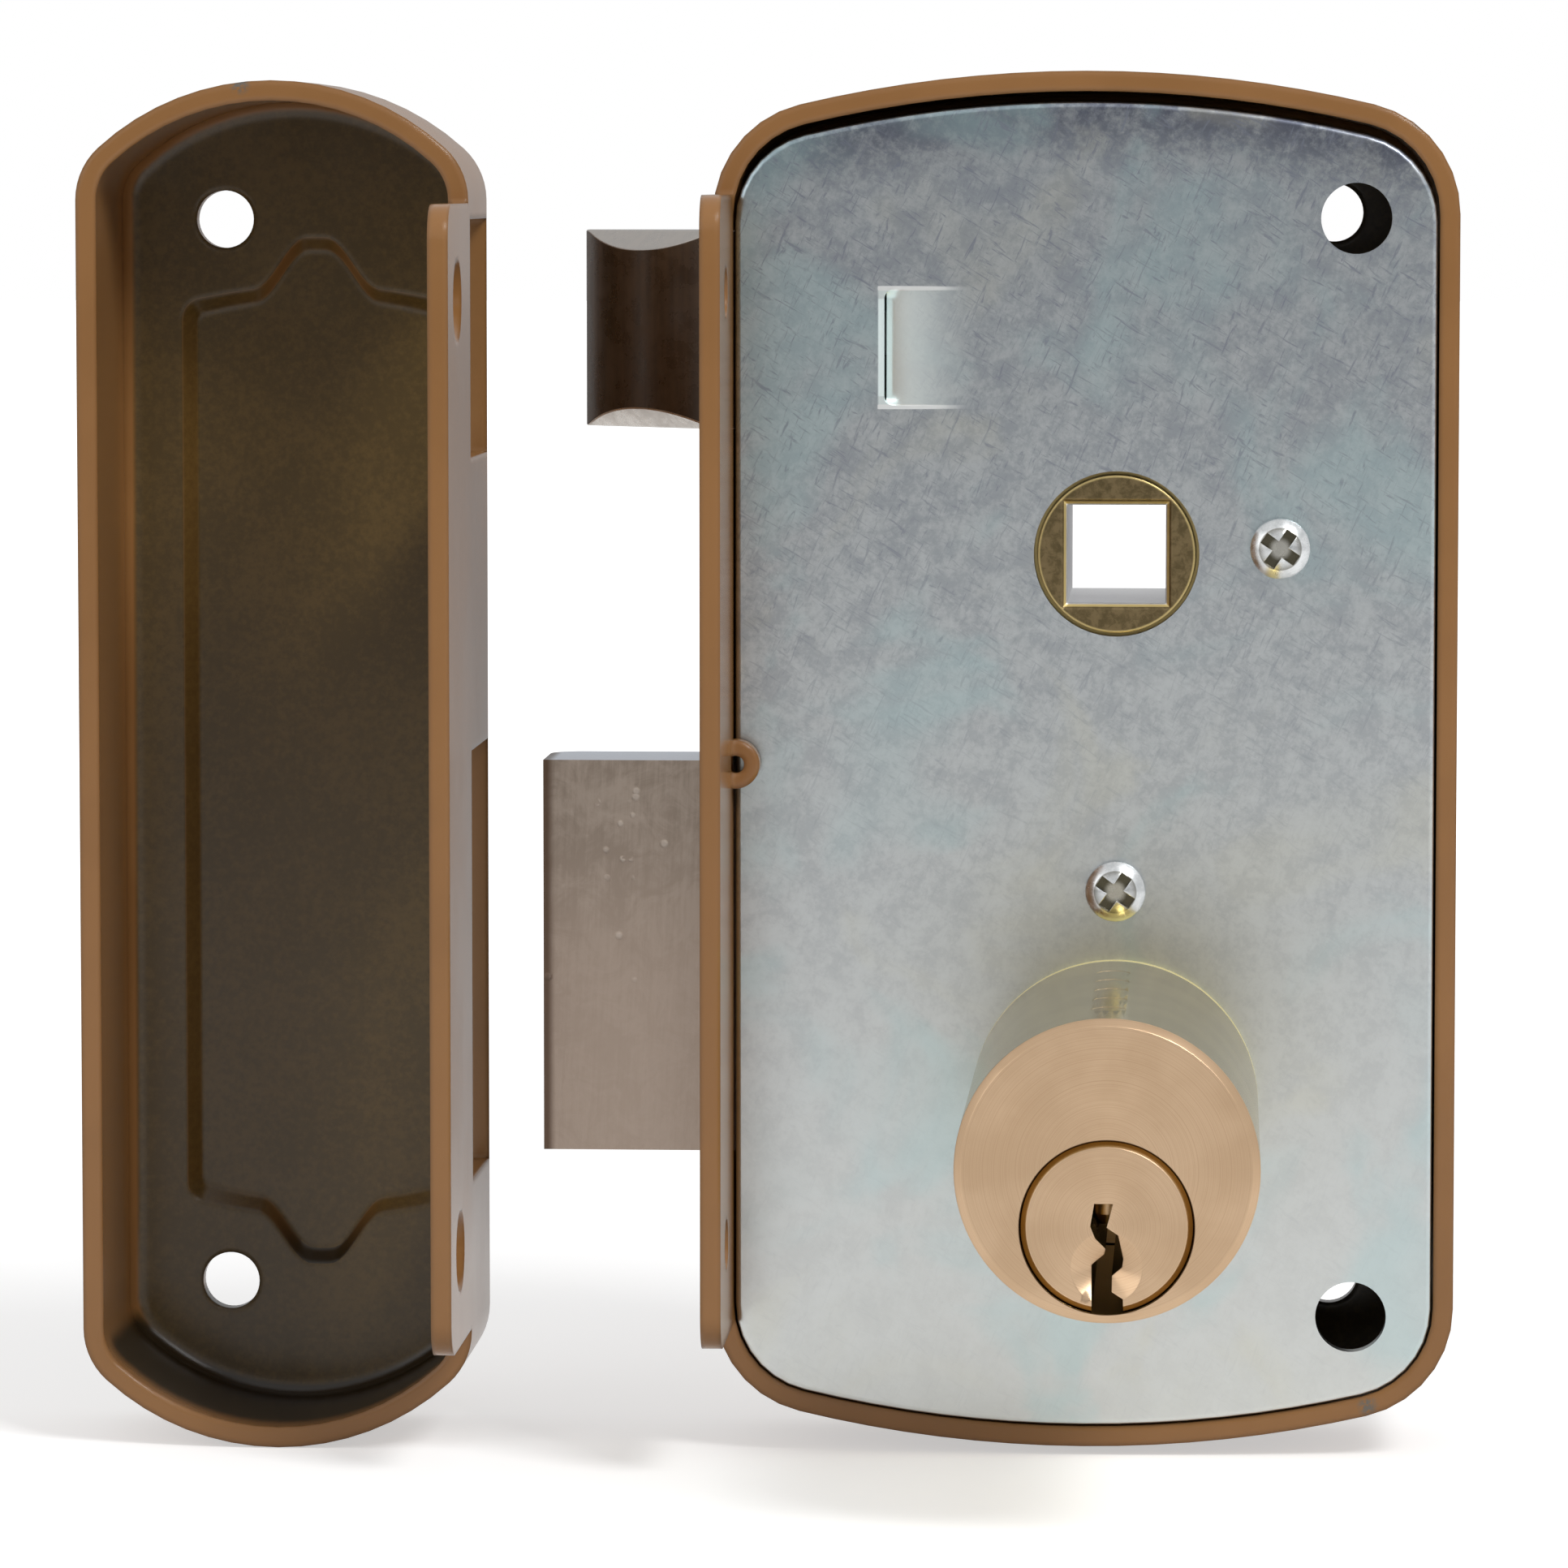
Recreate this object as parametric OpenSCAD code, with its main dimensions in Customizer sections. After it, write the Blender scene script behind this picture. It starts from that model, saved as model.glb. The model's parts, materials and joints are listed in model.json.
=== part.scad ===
// Rim box lock with its keeper, drawn as it lies seen from the door side. Lengths in millimetres.
// Origin: axis of the lock cylinder at the outer face of the back plate.
// X runs along the bolts, which leave toward -X. Y runs from the door into the room. Z is up.

/* [Case] */
// Width of the lock case
case_w = 63; // [56:0.5:80]
// Height of the lock case and of the keeper
case_h = 117; // [110:0.5:140]
// Depth from the back plate's outer face to the flat of the front
case_d = 20; // [19:0.1:30]
// Distance from the cylinder axis to the face where the bolts leave
backset = 34.2; // [33:0.1:45]
// Height of the case's centre over the cylinder axis
centre_z = 28.8; // [26:0.1:32]
// Sheet thickness of the case and the keeper
wall = 1.7; // [1.2:0.1:2.2]
// Radius of the arched top and bottom of the case
arch_r = 105; // [80:1:160]
// Radius of the case's corners
corner_r = 9.5; // [6:0.5:14]
// Radius of the pressed edge round the front
edge_r = 3; // [2:0.1:4]
// How far the sheet's rim lies behind the back plate's outer face
rim_back = 0.5; // [0.2:0.1:1.2]

/* [Raised panel] */
// Margin from the side walls to the raised panel
panel_margin = 3.6; // [3.2:0.1:6]
// How far the panel stands out of the front
panel_rise = 1.3; // [0.6:0.1:2]
// Height of the panel between its shoulders
panel_h = 80.5; // [72:0.5:82]
// Width of the sloping edge round the panel
panel_slope = 1.2; // [0.6:0.1:2]
// Radius of the panel's corners
panel_r = 2.8; // [2.2:0.1:4]
// Height of the curved peak over the panel's shoulders
peak_h = 4.2; // [2:0.1:5]
// Width of the curved peak at its foot
peak_w = 11; // [9:0.5:14]
// Width of the flat top of the peak
peak_flat = 1.6; // [0.5:0.1:3]
// Rise of the shoulders toward the peak
shoulder_rise = 1.5; // [0:0.1:2]

/* [Flange] */
// How far the flange reaches over the door's edge
flange_reach = 17; // [12:0.5:22]
// Length of the flange
flange_h = 96.2; // [90:0.1:100]
// Radius of the flange's free corners
flange_end_r = 3; // [1:0.5:6]
// Diameter of the flange's screw holes
flange_hole_d = 4.3; // [3.5:0.1:5]
// Diameter of their countersinks
flange_sink_d = 7; // [6:0.1:9]
// Distance between the flange's screw holes
flange_pitch = 80; // [70:0.5:84]
// Distance of the screw holes from the back plate's outer face
flange_hole_in = 9; // [7:0.5:11]
// Diameter of the lanced loop that keeps the plate in
nib_d = 4.1; // [3.6:0.1:5]
// How far the loop stands out of the flange
nib_rise = 2.4; // [2.1:0.1:3]
// Thickness of the loop
nib_t = 1.3; // [0.8:0.1:1.5]
// Width of the loop
nib_w = 2.2; // [1.5:0.1:3]

/* [Back plate] */
// Thickness of the back plate
plate_t = 1.5; // [1:0.1:2]
// Gap between the plate's edge and the case wall
plate_gap = 0.2; // [0.1:0.05:0.8]
// Gap between the plate's top edge and the case wall
plate_top_gap = 0.9; // [0.3:0.05:1.2]
// Radius of the plate's outer edge
plate_edge_r = 0.5; // [0.4:0.1:1]
// Distance of the front's fixing holes from the cylinder axis
fixing_x = 18.5; // [17:0.1:20]
// Distance between the two fixing holes
fixing_pitch = 92.6; // [90:0.1:95]
// How far the middle between them lies above the case's middle
fixing_rise = 0.2; // [0:0.1:0.5]
// Diameter of the fixing holes in the front of the case
fixing_d = 5; // [4:0.1:5.5]
// Diameter of the fixing holes in the back plate
plate_hole_d = 6; // [5:0.1:7]
// Distance between the fixing holes in the back plate
plate_hole_pitch = 93.2; // [90:0.1:95]
// How far the plate's fixing holes lie outside those of the front
plate_hole_out = 1.6; // [0:0.1:1.8]
// How far the middle between the plate's fixing holes lies below the case's middle
plate_hole_drop = 0.5; // [0:0.1:1]
// Length of the lanced tongue
tongue_w = 7.8; // [7:0.1:10]
// Height of the lanced tongue
tongue_h = 9.8; // [8:0.1:11]
// How far the tongue's free edge is pressed in
tongue_sink = 1.3; // [0.8:0.1:1.5]
// Distance of the tongue's free edge from the cylinder axis
tongue_x = 19.7; // [18:0.1:22]
// How far the tongue's middle lies below the latch's middle
tongue_drop = 1.4; // [0:0.1:3]
// Gap at the tongue's free edge
tongue_gap = 0.15; // [0.1:0.05:0.4]
// Radius of the corners of the tongue's window
tongue_corner_r = 0.8; // [0.5:0.1:1.2]
// Width of the drawn-in lip beside the tongue's free edge
tongue_lip = 0.5; // [0.3:0.1:1]

/* [Follower] */
// Width of the square spindle hole
spindle = 8.3; // [7.2:0.1:9.2]
// Diameter of the hub
hub_d = 13.3; // [13.3:0.1:15]
// Height of the hub over the cylinder axis
hub_z = 46.6; // [45:0.1:48]
// Radial gap of the turning hub
hub_gap = 0.35; // [0.3:0.05:0.6]
// Diameter of the hub's collar
collar_d = 17.5; // [16:0.1:18.5]
// Distance from the hub's axis to the middle of the arm's tip
arm_r = 14; // [13.5:0.1:14.5]
// Radius of the arm's tip
arm_tip_r = 2; // [1.8:0.1:2.5]
// Width of the arm
arm_w = 3; // [2.8:0.1:3.2]
// Angle that the handle turns the hub
hub_turn = 50.8; // [40:0.1:60]
// How far the hub stands out of the front
hub_lip = 3; // [0.2:0.1:6]
// Width of the lead-in round the spindle hole
lead_in = 0.5; // [0.2:0.1:0.8]
// Diameter of the stud that winds the hub's spring
stud_d = 2.6; // [2:0.1:2.8]
// Distance of the stud from the hub's axis
stud_r = 10.85; // [10.4:0.05:11.4]
// How far the stud stands up from the arm
stud_len = 6; // [4:0.1:6.5]
// Wire of the hub's spring
hub_wire = 1.1; // [0.8:0.1:1.2]
// Distance from one turn of the hub's spring to the next
hub_spring_pitch = 1.75; // [1.5:0.05:1.9]
// Gap between the hub and its spring
hub_spring_gap = 0.7; // [0.4:0.1:0.9]

/* [Bolts] */
// Distance from the plate's outer face to the middle of the bolts
bolt_y = 9.6; // [9.4:0.1:10]
// Thickness of the tails and of the hub's arm
tail_t = 2.5; // [2:0.1:3]
// Gap of the bolts in their windows
bolt_gap = 0.4; // [0.3:0.05:0.6]
// Height of the latch's middle over the cylinder axis
latch_z = 65.4; // [65:0.1:67]
// Height of the latch
latch_h = 16.9; // [15:0.1:17.5]
// Thickness of the latch
latch_t = 12; // [10:0.1:12]
// How far the latch stands out
latch_out = 11.8; // [11:0.1:14]
// Length of the latch that stays in the case
latch_in = 10.2; // [9:0.1:11]
// Thickness left at the latch's tip
latch_tip_t = 2.2; // [1.5:0.1:4]
// Bulge of the latch's bevel
latch_bulge = 1.8; // [1:0.1:2.2]
// Height of the deadbolt's middle over the cylinder axis
dead_z = 11.8; // [11.5:0.1:12.5]
// Height of the deadbolt
dead_h = 33.6; // [32:0.1:35]
// Thickness of the deadbolt
dead_t = 10; // [8:0.1:11]
// How far the deadbolt stands out
dead_out = 14.9; // [14.6:0.1:18]
// Length of the deadbolt that stays in the case
dead_in = 7; // [6:0.1:9]
// Stroke of the deadbolt
dead_throw = 15; // [14:0.1:15]
// Radius of the deadbolt's far edge
dead_r = 2.8; // [1:0.1:4]
// Depth of the chamfers at the latch's upper and lower ends
latch_chamfer = 11.9; // [11:0.1:12]
// How deep the latch's tail sits in the latch
latch_seat = 6; // [5:0.1:7]
// Height of the latch's tail
latch_tail_h = 3.8; // [3.4:0.1:4]
// How far the latch's tail starts below the latch's middle
latch_tail_drop = 2.2; // [2:0.1:2.4]
// Width of the lug that the hub's arm pushes
lug_w = 4; // [3:0.1:5]
// How deep the deadbolt's tail sits in the deadbolt
dead_seat = 5; // [4:0.1:6]
// Height of the tail's lower edge over the cylinder axis
dead_tail_low = 0.5; // [0.3:0.1:1]
// Height of the tail's upper edge over the cylinder axis
dead_tail_top = 27; // [26.5:0.1:27.2]
// Distance of the tail's end from the cylinder axis
dead_tail_end = 10; // [9:0.1:11]
// Play of the cam's pin in the tail's notch
notch_play = 0.625; // [0.6:0.025:0.8]
// Diameter of the tails' rivets
rivet_d = 3; // [2.5:0.1:3.5]
// Distance of the deadbolt's rivets from the tail's edges
rivet_in = 5; // [4:0.1:6]

/* [Springs and detent] */
// Wire of the latch spring
latch_wire = 0.8; // [0.6:0.05:1]
// Middle radius of the latch spring
latch_coil_r = 2.6; // [2.4:0.1:2.8]
// Height of the latch spring over the latch's middle
latch_coil_rise = 5.1; // [5:0.05:5.2]
// Number of turns of the latch spring
latch_turns = 10; // [7:1:12]
// Distance of the spring's stop from the cylinder axis
stop_x = 6; // [5:0.1:7]
// Thickness of the spring's stop
stop_t = 2.5; // [2:0.1:3]
// Length of the stop's foot
stop_foot = 6; // [4:0.1:7]
// Thickness of the stop's foot
stop_foot_t = 1.5; // [1:0.1:2]
// Length of the pin that guides the spring
stop_pin = 7; // [4:0.1:8]
// Distance of the detent's nub from the cylinder axis
nub_x = -8; // [-8.5:0.1:-7.5]
// Radius of the detent's nub
nub_r = 1.5; // [1.2:0.1:1.8]
// How high the nub's centre lies over the tail's edge
nub_rise = 0.4; // [0.3:0.05:0.6]
// Thickness of the detent's leaf
leaf_t = 0.6; // [0.4:0.1:0.8]
// Width of the detent's leaf
leaf_w = 5; // [4:0.1:6]
// How far the leaf goes past its nub
leaf_over = 5; // [3:0.1:6]
// Distance of the leaf's post from the cylinder axis
detent_x = -22.5; // [-23:0.1:-21.5]
// Diameter of the leaf's post
detent_post_d = 4; // [3.5:0.1:4.5]

/* [Posts and screws] */
// Diameter of the threaded posts
post_d = 6; // [5.5:0.1:6.5]
// Distance of the upper post from the cylinder axis
post_x = 13.8; // [13:0.1:15]
// Height of the upper post over the cylinder axis
post_upper_z = 47.1; // [45:0.1:48]
// Height of the lower post over the cylinder axis
post_lower_z = 18; // [17:0.1:18]
// Diameter of the plate screws
screw_d = 3; // [2.5:0.1:3.5]
// Diameter of the plate screws' heads
head_d = 5.1; // [4.8:0.1:6]
// Height of the plate screws' heads
head_h = 1.8; // [1.4:0.1:2.4]
// How far the plate screws go into their posts
screw_in = 9.5; // [6:0.1:12]

/* [Cylinder] */
// Diameter of the cylinder body
body_d = 24.3; // [23.5:0.1:26]
// Length of the cylinder body
body_len = 46; // [40:0.5:60]
// Diameter of the plug
plug_d = 13.75; // [13:0.05:14]
// How far the plug's axis lies below the body's axis
plug_drop = 4.45; // [4.2:0.05:4.6]
// Radial gap of the plug in the body
plug_gap = 0.05; // [0.03:0.01:0.1]
// Diameter of the pins
pin_d = 2.6; // [2.2:0.1:3]
// Number of pins
pin_count = 5; // [4:1:6]
// Distance from one pin to the next
pin_pitch = 7; // [6:0.1:7.2]
// Diameter of the two screws that hold the cylinder
cyl_screw_d = 4; // [3.5:0.1:4.5]
// Half the distance between those screws
cyl_screw_x = 7.5; // [7:0.1:8]
// Height of those screws over the cylinder axis
cyl_screw_z = 4.5; // [4:0.1:5]
// How far those screws go into the body
cyl_screw_in = 11; // [8:0.1:14]
// Diameter of those screws' heads
cyl_head_d = 7; // [6.5:0.1:7.4]
// Height of those screws' heads
cyl_head_h = 2.4; // [2:0.1:2.6]
// Width of the slot in those heads
cyl_slot_w = 1; // [0.8:0.1:1.2]
// Depth of the slot in those heads
cyl_slot_depth = 1.2; // [0.8:0.1:1.4]
// Chamfer round the body's face
face_chamfer = 0.6; // [0.3:0.1:1]
// Chamfer round the plug's face
plug_chamfer = 0.5; // [0.2:0.1:0.8]
// Length of the plug that the keyway leaves whole
plug_end = 6; // [5.5:0.1:8]
// Diameter of the key's lead-in
cone_d = 5.7; // [4:0.1:6]
// Depth of the key's lead-in
cone_h = 1.7; // [1:0.1:2]
// How far the lead-in lies below the plug's axis
cone_drop = 3.25; // [2.5:0.05:3.5]
// Distance of the first pin from the body's face
pin_first = 7.5; // [6.5:0.1:9]
// How far the key pins reach below the plug's axis
key_pin_drop = 0.6; // [0.3:0.1:0.9]
// Height of the key pins' points
key_pin_tip = 0.8; // [0.5:0.1:1]
// Height of the driver pins
driver_h = 3.6; // [3:0.1:4]
// Height of the chamber caps
cap_h = 1.6; // [1.2:0.1:1.8]
// Wire of the pin springs
pin_wire = 0.4; // [0.3:0.05:0.45]
// Number of turns of the pin springs
pin_turns = 4; // [3:1:5]
// Diameter of the plug's neck
neck_d = 9; // [8:0.1:9.5]
// Diameter of the clip on the neck
clip_d = 12; // [11:0.1:12.5]
// Thickness of the clip
clip_t = 1.1; // [0.8:0.1:1.2]
// Width of the clip's mouth
clip_mouth = 3; // [2:0.1:4]

/* [Cam and turn] */
// Distance from the plug's axis to the cam's pin
cam_r = 10.6; // [10.2:0.1:11]
// Diameter of the cam's pin
cam_pin_d = 4; // [3.5:0.1:4.2]
// Thickness of the cam
cam_t = 2.8; // [2:0.1:3]
// Diameter of the cam's hub
cam_hub_d = 13; // [12:0.1:13.5]
// Width of the cam's arm at its hub
cam_root_w = 12; // [10:0.1:12.5]
// Radius of the cam's tip
cam_tip_r = 3.4; // [3:0.1:3.6]
// Gap between the cylinder screws' heads and the cam
cam_gap = 0.7; // [0.4:0.1:0.8]
// Width of the tail bar
bar_w = 6; // [5:0.1:6.5]
// Thickness of the tail bar
bar_t = 2; // [1.6:0.1:2.4]
// How far the tail bar goes into the plug
bar_in = 3.9; // [3:0.1:5]
// Diameter of the thumb turn's shaft
shaft_d = 7; // [6:0.1:8]
// Diameter of the thumb turn's rose
rose_d = 18; // [14:0.5:22]
// Thickness of the thumb turn's rose
rose_t = 2.5; // [1.5:0.1:4]
// Width of the thumb turn's grip
grip_w = 22; // [16:0.5:26]
// Thickness of the thumb turn's grip
grip_t = 6; // [5:0.1:8]
// How far the grip stands out of the rose
grip_out = 13; // [8:0.5:18]

/* [Keeper] */
// Width of the keeper
keeper_w = 33.5; // [31:0.5:45]
// Distance at which the keeper lies from the case
keeper_gap = 20.8; // [18:0.1:30]
// How far the keeper's middle lies below the case's middle
keeper_drop = 0.75; // [0:0.05:1.2]
// How far the keeper's panel lies toward the case from its middle
keeper_panel_x = 1.7; // [0:0.1:1.8]
// Width of the keeper's raised panel
keeper_panel_w = 25.3; // [23:0.1:26]
// Radius of the keeper's arched ends
keeper_arch_r = 22; // [20:0.5:30]
// Radius of the keeper's corners
keeper_corner_r = 6; // [5:0.5:9]
// Diameter of the keeper's fixing holes
keeper_hole_d = 5; // [4:0.1:6]
// Distance of the fixing holes from the keeper's closed side
keeper_hole_in = 10.5; // [8:0.1:11]
// Distance between the keeper's fixing holes
keeper_pitch = 93.3; // [90:0.1:95]
// Gap round the bolts in the keeper's mouths
mouth_gap = 1.7; // [1:0.1:2]
// Width of the mouths
mouth_w = 15; // [14:0.1:15]

/* [Hidden] */
$fn = 64;
e = 0.01;
gap = 0.3;
seat_gap = 0.05;
thread_gap = 0.05;
screw_gap = 0.15;
pin_gap = 0.25;
cut = 1;

case_x = case_w / 2 - backset;
inner_front = case_d - wall;
panel_front = case_d + panel_rise;
panel_inner = panel_front - wall;
keeper_edge = -backset - keeper_gap;
keeper_x = keeper_edge - keeper_w / 2;
keeper_z = centre_z - keeper_drop;
plug_z = -plug_drop;
post_list = [[post_x, post_upper_z], [0, post_lower_z]];

tail_y = bolt_y - tail_t / 2;
latch_tip = -backset - latch_out;
latch_rear = -backset + latch_in;
latch_tail_z = latch_z - latch_tail_drop;
latch_rivet_x = latch_rear - latch_seat / 2;
latch_coil_z = latch_z + latch_coil_rise;
arm_start = -hub_turn / 2;
latch_throw = 2 * arm_r * sin(hub_turn / 2);
lug_x = -latch_throw / 2 + arm_tip_r + gap;
lug_low = hub_z + arm_r * cos(hub_turn / 2) - arm_tip_r / 4;

dead_tip = -backset - dead_out;
dead_rear = -backset + dead_in;
dead_rivet_x = dead_rear - dead_seat / 2;
notch_top = plug_z + cam_r + cam_pin_d / 2 + notch_play;
notch_w = cam_pin_d + 2 * notch_play;
leaf_z = dead_z + dead_h / 2 + bolt_gap;
detent_z = leaf_z + leaf_t + detent_post_d / 2 + seat_gap;

cam_y = plate_t + cyl_head_h + cam_gap;
cam_pin_x = -cam_r * sin(45);
shear_z = plug_z + plug_d / 2;
pin_list = [for (i = [0 : pin_count - 1]) -body_len + pin_first + i * pin_pitch];
driver_low = shear_z + pin_gap;
cap_low = body_d / 2 - cap_h;
chamber_d = pin_d + 4 * seat_gap;

// Points on an arc about c from angle a to angle b
function arc(c, r, a, b, n) =
    [for (i = [0 : n]) c + r * [cos(a + (b - a) * i / n), sin(a + (b - a) * i / n)]];

// Outline of a box with arched ends and rounded corners, drawn in by an inset on all sides
function box_outline(w, h, end_r, cor_r, inset) =
    let (arch_c = h / 2 - end_r,
         cor_x = w / 2 - cor_r,
         cor_z = arch_c + sqrt((end_r - cor_r) ^ 2 - cor_x ^ 2),
         half = asin(cor_x / (end_r - cor_r)),
         ra = end_r - inset,
         rc = cor_r - inset)
    concat(arc([cor_x, cor_z], rc, 0, 89.99 - half, 7),
           arc([0, arch_c], ra, 90 - half, 90 + half, 16),
           arc([-cor_x, cor_z], rc, 90.01 + half, 180, 7),
           arc([-cor_x, -cor_z], rc, 180, 269.99 - half, 7),
           arc([0, -arch_c], ra, 270 - half, 270 + half, 16),
           arc([cor_x, -cor_z], rc, 270.01 + half, 360, 7));

// Height of the raised panel's upper edge at a distance x from its middle
function panel_edge(x, half_w, half_h) =
    let (up = (peak_w / 2 - abs(x)) / (peak_w / 2 - peak_flat / 2))
    half_h + shoulder_rise * (1 - (x / half_w) ^ 2) + peak_h * (1 - cos(180 * max(0, min(1, up)))) / 2;

// Outline of the raised panel with its curved peaks, drawn in by an inset
function panel_outline(w, inset) =
    let (half_w = w / 2 - inset,
         half_h = panel_h / 2 - inset,
         r = panel_r - inset,
         run = half_w - r,
         n = 36,
         top = [for (i = [0 : n]) let (x = run - 2 * run * i / n) [x, panel_edge(x, half_w, half_h)]],
         low = [for (i = [0 : n]) [-top[i][0], -top[i][1]]],
         edge_z = panel_edge(run, half_w, half_h) - r)
    concat(arc([run, edge_z], r, 0, 85, 5), top, arc([-run, edge_z], r, 95, 180, 5),
           arc([-run, -edge_z], r, 180, 265, 5), low, arc([run, -edge_z], r, 275, 360, 5));

// Solid through a list of [y, outline] levels that all have the same number of points
module loft(levels) {
    n = len(levels[0][1]);
    last = len(levels) - 1;
    points = [for (level = levels, p = level[1]) [p[0], level[0], p[1]]];
    sides = [for (k = [0 : last - 1], i = [0 : n - 1], half = [0, 1])
        let (a = k * n + i, b = k * n + (i + 1) % n)
        half == 0 ? [a, b, b + n] : [a, b + n, a + n]];
    ends = [[for (i = [0 : n - 1]) n - 1 - i], [for (i = [0 : n - 1]) last * n + i]];
    polyhedron(points, concat(sides, ends));
}

// Flat shape in X and Z, thickened along Y from y
module sheet_y(y, t) {
    translate([0, y + t, 0]) rotate([90, 0, 0]) linear_extrude(t) children();
}

// Flat shape in Y and Z, thickened along X from x
module sheet_x(x, t) {
    translate([x, 0, 0]) rotate([90, 0, 90]) linear_extrude(t) children();
}

// Round bar along Y from y0 to y1
module rod_y(x, z, d, y0, y1) {
    translate([x, y1, z]) rotate([90, 0, 0]) cylinder(d = d, h = y1 - y0);
}

// Box between two opposite corners
module block(low, high) {
    translate(low) cube(high - low);
}

// Unbroken round wire through a list of points, whose ends are closed flat
module wire(path, r, sides) {
    n = len(path);
    rings = [for (i = [0 : n - 1])
        let (d = path[min(i + 1, n - 1)] - path[max(i - 1, 0)],
             t = d / norm(d),
             up = abs(t[1]) < 0.8 ? [0, 1, 0] : [1, 0, 0],
             u0 = cross(t, up),
             u = u0 / norm(u0),
             v = cross(t, u))
        [for (k = [0 : sides - 1])
            path[i] + r * cos(360 * k / sides) * u + r * sin(360 * k / sides) * v]];
    points = [for (ring = rings, p = ring) p];
    skin = [for (i = [0 : n - 2], k = [0 : sides - 1], half = [0, 1])
        let (a = i * sides + k, b = i * sides + (k + 1) % sides)
        half == 0 ? [a, b + sides, b] : [a, a + sides, b + sides]];
    ends = [[for (k = [0 : sides - 1]) k],
            [for (k = [0 : sides - 1]) (n - 1) * sides + sides - 1 - k]];
    polyhedron(points, concat(skin, ends));
}

// Quarter round from a straight wall into a flat front, as [y, inset] pairs
function rounding(front, r, n) =
    [for (i = [0 : n]) [front - r + r * sin(90 * i / n), r - r * cos(90 * i / n)]];

// Pressed box with a raised panel at panel_x, and a flange that carries on its side wall
module pressed_box(w, end_r, cor_r, side, panel_x, panel_w) {
    outer = concat([[rim_back, 0]], rounding(case_d, edge_r, 5));
    inner = concat([[rim_back - cut, 0]], rounding(inner_front, edge_r - wall, 4));
    flange_x = side * w / 2 - (side > 0 ? wall : 0);
    difference() {
        union() {
            loft([for (p = outer) [p[0], box_outline(w, case_h, end_r, cor_r, p[1])]]);
            translate([panel_x, 0, 0])
                loft([[case_d - wall / 2, panel_outline(panel_w, 0)],
                      [case_d, panel_outline(panel_w, 0)],
                      [panel_front, panel_outline(panel_w, panel_slope)]]);
            sheet_x(flange_x, wall) flange_shape();
        }
        loft([for (p = inner) [p[0], box_outline(w, case_h, end_r, cor_r, wall + p[1])]]);
        translate([panel_x, 0, 0])
            loft([[inner_front - wall / 2, panel_outline(panel_w, wall / 2)],
                  [inner_front, panel_outline(panel_w, wall / 2)],
                  [panel_inner, panel_outline(panel_w, wall / 2 + panel_slope)]]);
        for (s = [-1, 1])
            translate([side * w / 2, -flange_hole_in, s * flange_pitch / 2]) countersunk(side);
    }
}

// Side view of the flange with its rounded free corners
module flange_shape() {
    free = flange_reach - flange_end_r;
    half = flange_h / 2 - flange_end_r;
    translate([-free, -flange_h / 2]) square([free + rim_back + wall, flange_h]);
    translate([-flange_reach, -half]) square([flange_reach, 2 * half]);
    for (s = [-1, 1])
        translate([-free, s * half]) circle(r = flange_end_r);
}

// Screw hole through the flange, sunk from its outer side
module countersunk(side) {
    rotate([0, side * 90, 0]) {
        translate([0, 0, -wall - cut]) cylinder(d = flange_hole_d, h = wall + 2 * cut);
        translate([0, 0, -(flange_sink_d - flange_hole_d) / 2])
            cylinder(d1 = flange_hole_d, d2 = flange_sink_d + 2 * e,
                     h = (flange_sink_d - flange_hole_d) / 2 + e);
    }
}

// Round bar along Y in the loop that is lanced out of the flange, just outside the back plate
module nib(d) {
    rod_y(wall - backset + nib_rise - nib_d / 2, centre_z, d, -gap - nib_w, -gap);
}

// Cross-head recess cut into a screw head whose top is at y
module cross_recess(size, y, depth) {
    for (a = [35, 125])
        translate([0, y, 0]) rotate([0, a, 0]) cube([size, 2 * depth, size / 3.4], center = true);
}

// Window for a bolt through the case's side
module bolt_window(z, h, t) {
    translate([wall / 2 - backset, bolt_y, z])
        cube([wall + 2 * cut, t + 2 * bolt_gap, h + 2 * bolt_gap], center = true);
}

module case() {
    color([0.55, 0.38, 0.2]) difference() {
        union() {
            translate([case_x, 0, centre_z])
                pressed_box(case_w, arch_r, corner_r, -1, 0, case_w - 2 * panel_margin);
            nib(nib_d);
        }
        nib(nib_d - 2 * nib_t);
        bolt_window(latch_z, latch_h, latch_t);
        bolt_window(dead_z, dead_h, dead_t);
        rod_y(0, hub_z, hub_d + 2 * hub_gap, inner_front - cut, panel_front + cut);
        rod_y(0, plug_z, shaft_d + 2 * hub_gap, inner_front - cut, panel_front + cut);
        for (s = [-1, 1])
            rod_y(fixing_x, centre_z + fixing_rise + s * fixing_pitch / 2, fixing_d,
                  inner_front - cut, panel_front + cut);
    }
}

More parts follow.
